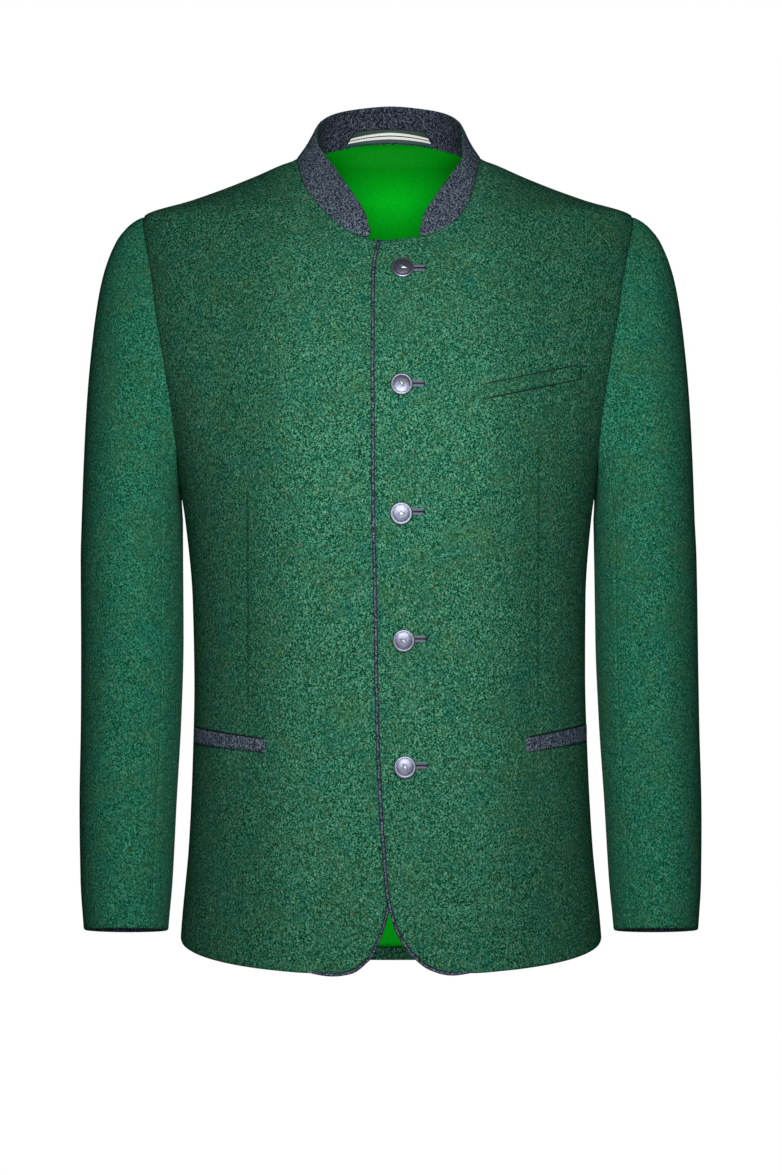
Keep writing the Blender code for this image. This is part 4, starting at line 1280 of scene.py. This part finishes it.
def piping_cloth(panel, first_row, name, node):
    path = [(i, 0) for i in range(first_row, 0, -1)] + [(0, j) for j in range(FINER * PIPING_HEM_STEPS + 1)]
    places = []
    frames = []
    for i, j in path:
        ways = inward(panel.points, i, j)
        if (i, j) == (0, 0):
            away = -unit(sum(ways))
        else:
            away = -ways[-1] if j == 0 else -ways[0]
        normal = panel.normals[i, j]
        left = len(path) - 1 - len(places)
        tucked = PIPING_TUCK[left] if left < len(PIPING_TUCK) else 1.0
        off = (PIPING_HALF_WIDTH + SEAM_GAP * 0.6) * tucked
        places.append(panel.points[i, j] - normal * 0.5 * panel.wall + away * off)
        frames.append((away, normal))
    half = np.full(len(places), PIPING_HALF_WIDTH)
    half[-4:] *= (0.95, 0.85, 0.7, 0.5)
    piece = tube_piece(name, places, frames, half, PIPING_HALF_DEPTH, sides=CORD_SIDES)
    dress(piece, node, grey_wool)
    # Painted shade: all faces but the crown take the dark navy, for the shade along the piping's sides
    piece.data.materials.append(grey_piping_shade)
    for face in piece.data.polygons:
        if face.index % CORD_SIDES not in CORD_CROWN:
            face.material_index = 1


def welt_cloth(row, own_material):
    sizes = dict(zip(WELT_COLUMNS, row))
    side = sizes["side"]
    outer = np.zeros((len(WELT_ROWS), WELT_STEPS, 3))
    inner = np.zeros_like(outer)
    slit = []
    for j, share in enumerate(np.linspace(0.0, 1.0, WELT_STEPS)):
        ends = {}
        for edge in ("bottom", "top"):
            ends[edge] = sizes["inner_" + edge] * (1 - share) + sizes["outer_" + edge] * share
        x = sizes["inner_x"] * (1 - share) + sizes["outer_x"] * share
        for i, up in enumerate(WELT_ROWS):
            z = ends["bottom"] * (1 - up) + ends["top"] * up
            place, normal = laid(side, x, z)
            near = min(up, 1 - up) * (ends["top"] - ends["bottom"])
            near = min(near, share * abs(sizes["outer_x"] - sizes["inner_x"]), (1 - share) * WELT_RUN)
            thick = WELT_WALL * (0.45 + 0.55 * min(1.0, near / 1.4) ** 0.5)
            inner[i, j] = place + normal * LAY_GAP * 0.3
            outer[i, j] = place + normal * (LAY_GAP + thick)
        slit.append((x, ends["top"]))
    piece = wall_piece(sizes["name"] + "_cloth", outer, inner, bulge=0.1)
    dress(piece, sizes["name"], own_material)
    return side, slit


def strip(name, side, line, low, high, thick, own_material, ends=True):
    """A narrow raised strip above a line of the front; thin at both ends."""
    outer = np.zeros((len(STRIP_ROWS), len(line), 3))
    inner = np.zeros_like(outer)
    for j, (x, z) in enumerate(line):
        share = j / (len(line) - 1)
        fade = min(1.0, 9.0 * min(share, 1 - share) + 0.12) if ends else 1.0
        for i, up in enumerate(STRIP_ROWS):
            place, normal = laid(side, x, z + low + (high - low) * (0.5 + (up - 0.5) * fade))
            inner[i, j] = place + normal * 0.04
            outer[i, j] = place + normal * (0.08 + thick * math.sin(math.pi * (0.15 + 0.7 * up)))
    piece = wall_piece(name, outer, inner, bulge=0.05)
    dress(piece, None, own_material)


def turned_piece(name, middle, axis, profile, sides):
    across = unit(np.cross(axis, np.array([0.0, 0.0, 1.0])))
    up = np.cross(across, axis)
    vertices = [middle + axis * profile[0][1]]
    for radius, height in profile[1:-1]:
        for k in range(sides):
            angle = 2.0 * math.pi * k / sides
            out = across * math.cos(angle) + up * math.sin(angle)
            vertices.append(middle + axis * height + out * radius)
    vertices.append(middle + axis * profile[-1][1])
    faces = []
    rings = len(profile) - 2
    for k in range(sides):
        n = (k + 1) % sides
        faces.append((0, 1 + k, 1 + n))
        for r in range(rings - 1):
            a, b = 1 + r * sides, 1 + (r + 1) * sides
            faces.append((a + k, b + k, b + n, a + n))
        top = 1 + (rings - 1) * sides
        faces.append((top + n, top + k, len(vertices) - 1))
    if across.dot(np.cross(up, axis)) > 0.0:
        faces = [face[::-1] for face in faces]
    return mesh_piece(name, vertices, faces), across, up


def button_piece(number, x, z):
    """Domed button with a raised rim and a plain lozenge."""
    place, axis = laid(1, x, z)
    name = "button_%d" % number
    piece, across, up = turned_piece(name + "_metal", place, axis, BUTTON_STEM + BUTTON_FACE, BUTTON_SIDES)
    dress(piece, name, old_pewter)
    turn = 0.5 * (number % 3)
    one = across * math.cos(turn) + up * math.sin(turn)
    two = np.cross(axis, one)
    corners = [(1.0, 0.0), (0.0, 0.55), (-1.0, 0.0), (0.0, -0.55)]
    vertices = []
    for scale, height in ((1.0, 4.95), (1.0, 5.3), (0.55, 5.3 + MOTIF_HEIGHT)):
        for a, b in corners:
            vertices.append(place + (one * a + two * b) * MOTIF_HALF * scale + axis * height)
    faces = [(3, 2, 1, 0), (8, 9, 10, 11)]
    for r in range(2):
        for k in range(4):
            n = (k + 1) % 4
            faces.append((4 * r + k, 4 * r + n, 4 * r + 4 + n, 4 * r + 4 + k))
    if np.cross(one, two).dot(axis) < 0.0:
        faces = [face[::-1] for face in faces]
    motif = mesh_piece(name + "_motif", vertices, faces)
    motif.data.shade_flat()
    dress(motif, None, old_pewter)


def buttonhole(number, x, z):
    """A sewn slit beside the button: two thread lips, a bar at the end and a dark line between; the line and
    the bar are painted shade.
    """
    line = [(x + at, z + HOLE_RISE) for at in np.linspace(HOLE_FROM, HOLE_TO, 17)]
    # Painted shade: a dark strip in the slit between the thread lips
    strip("buttonhole_%d_slit" % number, 1, line, -0.9, 0.9, 0.35, painted_shade_strips)
    for word, low, high in (("upper", 0.75, HOLE_HALF), ("lower", -HOLE_HALF, -0.75)):
        strip("buttonhole_%d_%s" % (number, word), 1, line, low, high, 0.75, hole_thread)
    end = [(x + HOLE_TO + at, z + HOLE_RISE) for at in np.linspace(-0.4, 0.6, 4)]
    # Painted shade: the end bar in the same dark
    strip("buttonhole_%d_bar" % number, 1, end, -1.5, 1.5, 0.8, painted_shade_strips, ends=False)


def collar_edging(name):
    """The green felt of the under collar, a hair's breadth of it along the top edge at both sides."""
    top = collar.points[-1]
    for word, first, way in (("right", 0, 1), ("left", len(top) - 1, -1)):
        places = []
        frames = []
        for step in range(EDGING_FROM, EDGING_TO):
            j = first + way * step
            normal = collar.normals[-1, j]
            up = unit(top[j] - collar.points[-2, j])
            places.append(top[j] - normal * 0.25 * COLLAR_WALL + up * 0.1)
            frames.append((normal, up))
        half = np.full(len(places), 0.45)
        half[:4] *= (0.3, 0.5, 0.7, 0.9)
        half[-4:] *= (0.9, 0.7, 0.5, 0.3)
        piece = tube_piece(name + "_" + word, places, frames, half, 0.4, sides=8)
        dress(piece, None, body_wool)


def facing_cloth(side, name):
    shares = np.linspace(sleeve_rows()[-1 - FINER], 2.0, FACING_ROWS)
    count = 2 * ARMHOLE_STEPS
    outer = np.zeros((len(shares), count, 3))
    inner = np.zeros_like(outer)
    for i, length in enumerate(shares):
        lift = FACING_LIFT * (i / (len(shares) - 1))
        for j in range(count):
            turn = math.pi * j / ARMHOLE_STEPS
            normal = sleeve_normal(side, turn, length)
            place = sleeve_point(side, turn, length) + np.array([0.0, 0.0, lift])
            outer[i, j] = place - normal * (WALL + LAY_GAP)
            inner[i, j] = place - normal * (WALL + LAY_GAP + FACING_WALL)
    piece = wall_piece(name + "_cloth", outer, inner, closed=True, bulge=0.1)
    dress(piece, name, grey_wool)


lining_cloth("lining_back_cloth")
ribbon_cloth("hanger_ribbon_cloth")
collar_edging("collar_edging")
piping_cloth(front_left, ARMHOLE_STEPS + SEAM_STEPS, "piping_left_cloth", "piping_left")
right_heights = front_right.points[:, 0, 2]
right_first = max(i for i in range(len(right_heights)) if right_heights[i] < RIGHT_PIPING_FROM_Z)
piping_cloth(front_right, right_first, "piping_right_cloth", "piping_right")
for row in WELTS:
    own_material = grey_wool if row[-1] == "grey_wool" else body_wool
    welt_side, welt_line = welt_cloth(row, own_material)
    if row[-1] == "wool":
        # Painted shade: dark strips in the breast pocket's mouth over the welt and under its foot
        strip(row[0] + "_slit", welt_side, welt_line, -0.2, 0.9, 0.1, painted_shade_strips)
        foot = [(x, z - WELT_FOOT) for x, z in welt_line]
        strip(row[0] + "_foot", welt_side, foot, -0.9, 0.0, 0.1, painted_shade_strips)
    else:
        # Painted shade: a dark strip in the pocket's mouth between the welt and the jet
        strip(row[0] + "_slit", welt_side, welt_line, 0.1, JET_GAP, 0.1, painted_shade_strips)
        strip(row[0] + "_jet", welt_side, welt_line, JET_GAP, JET_GAP + JET_HEIGHT, 0.8, body_wool)
for side, word in ((-1, "right"), (1, "left")):
    facing_cloth(side, "cuff_facing_" + word)
for k, (x, z) in enumerate(BUTTONS):
    button_piece(k + 1, x, z)
    buttonhole(k + 1, x, z)


# Light, floor and camera

WORLD_LIGHT = 0.045
LIGHT_COLUMNS = ("name", "place", "aim", "width", "height", "watts")
LIGHTS = (
    ("front_light", (0.02, -1.12, -0.14), (0.0, 0.0, -0.26), 0.55, 0.55, 12.1),
    ("low_light", (0.0, -1.4, -1.08), (0.0, 0.1, -0.72), 0.4, 0.3, 2.0),
    ("back_light", (0.0, 1.35, 0.25), (0.0, 0.0, -0.3), 0.9, 0.7, 17.0),
    ("inner_light", (0.0, -0.02, -0.62), (0.0, 0.11, -0.76), 0.12, 0.05, 0.12),
)
FLOOR_RADIUS = 640.0
FLOOR_SIDES = 96
FLOOR_Z = -1120.0
FLOOR_GLOW = 0.4


def area_light(name, place, aim, width, height, watts):
    data = bpy.data.lights.new(name, "AREA")
    data.shape = "RECTANGLE"
    data.size = width
    data.size_y = height
    data.energy = watts
    lamp = bpy.data.objects.new(name, data)
    bpy.context.scene.collection.objects.link(lamp)
    lamp.location = place
    lamp.rotation_euler = (Vector(aim) - Vector(place)).to_track_quat("-Z", "Y").to_euler()
    lamp.visible_camera = False


for row in LIGHTS:
    area_light(**dict(zip(LIGHT_COLUMNS, row)))


def pale_floor():
    """A plain pale sheet on the floor, well below the hung jacket and below the photograph's frame."""
    rim = []
    for turn in np.linspace(0.0, 2.0 * math.pi, FLOOR_SIDES, endpoint=False):
        rim.append((FLOOR_RADIUS * MM * math.cos(turn), FLOOR_RADIUS * MM * math.sin(turn), 0.0))
    mesh = bpy.data.meshes.new("floor")
    mesh.from_pydata(rim, [], [tuple(range(FLOOR_SIDES))])
    pale = Shader("pale_floor").finish(
        Base_Color=(0.86, 0.86, 0.86, 1.0), Roughness=0.9,
        Emission_Color=(1.0, 1.0, 1.0, 1.0), Emission_Strength=FLOOR_GLOW,
    )
    mesh.materials.append(pale)
    floor = bpy.data.objects.new("floor", mesh)
    bpy.context.scene.collection.objects.link(floor)
    floor.location = (0.0, 0.0, FLOOR_Z * MM)
    floor.visible_diffuse = False


pale_floor()


def white_world():
    """Plain white behind the object for the camera, a weaker grey as light."""
    world = bpy.data.worlds.new("white")
    bpy.context.scene.world = world
    world.use_nodes = True
    tree = world.node_tree
    shade = tree.nodes["Background"]
    seen = tree.nodes.new("ShaderNodeBackground")
    for background, strength in ((shade, WORLD_LIGHT), (seen, 1.0)):
        background.inputs["Color"].default_value = (1.0, 1.0, 1.0, 1.0)
        background.inputs["Strength"].default_value = strength
    rays = tree.nodes.new("ShaderNodeLightPath")
    mixed = tree.nodes.new("ShaderNodeMixShader")
    tree.links.new(rays.outputs["Is Camera Ray"], mixed.inputs["Fac"])
    tree.links.new(shade.outputs["Background"], mixed.inputs[1])
    tree.links.new(seen.outputs["Background"], mixed.inputs[2])
    tree.links.new(mixed.outputs["Shader"], tree.nodes["World Output"].inputs["Surface"])


white_world()

CAMERA_DISTANCE = 3500.0
CAMERA_HEIGHT = -400.0
CAMERA_SIDE = 0.5
LENS = 115.3

camera_data = bpy.data.cameras.new("camera")
camera_data.lens = LENS
camera_data.sensor_width = 36.0
camera = bpy.data.objects.new("camera", camera_data)
bpy.context.scene.collection.objects.link(camera)
camera.location = (CAMERA_SIDE * MM, -CAMERA_DISTANCE * MM, CAMERA_HEIGHT * MM)
camera.rotation_euler = (math.radians(90.0), 0.0, 0.0)
bpy.context.scene.camera = camera
bpy.context.scene.view_settings.view_transform = "Standard"
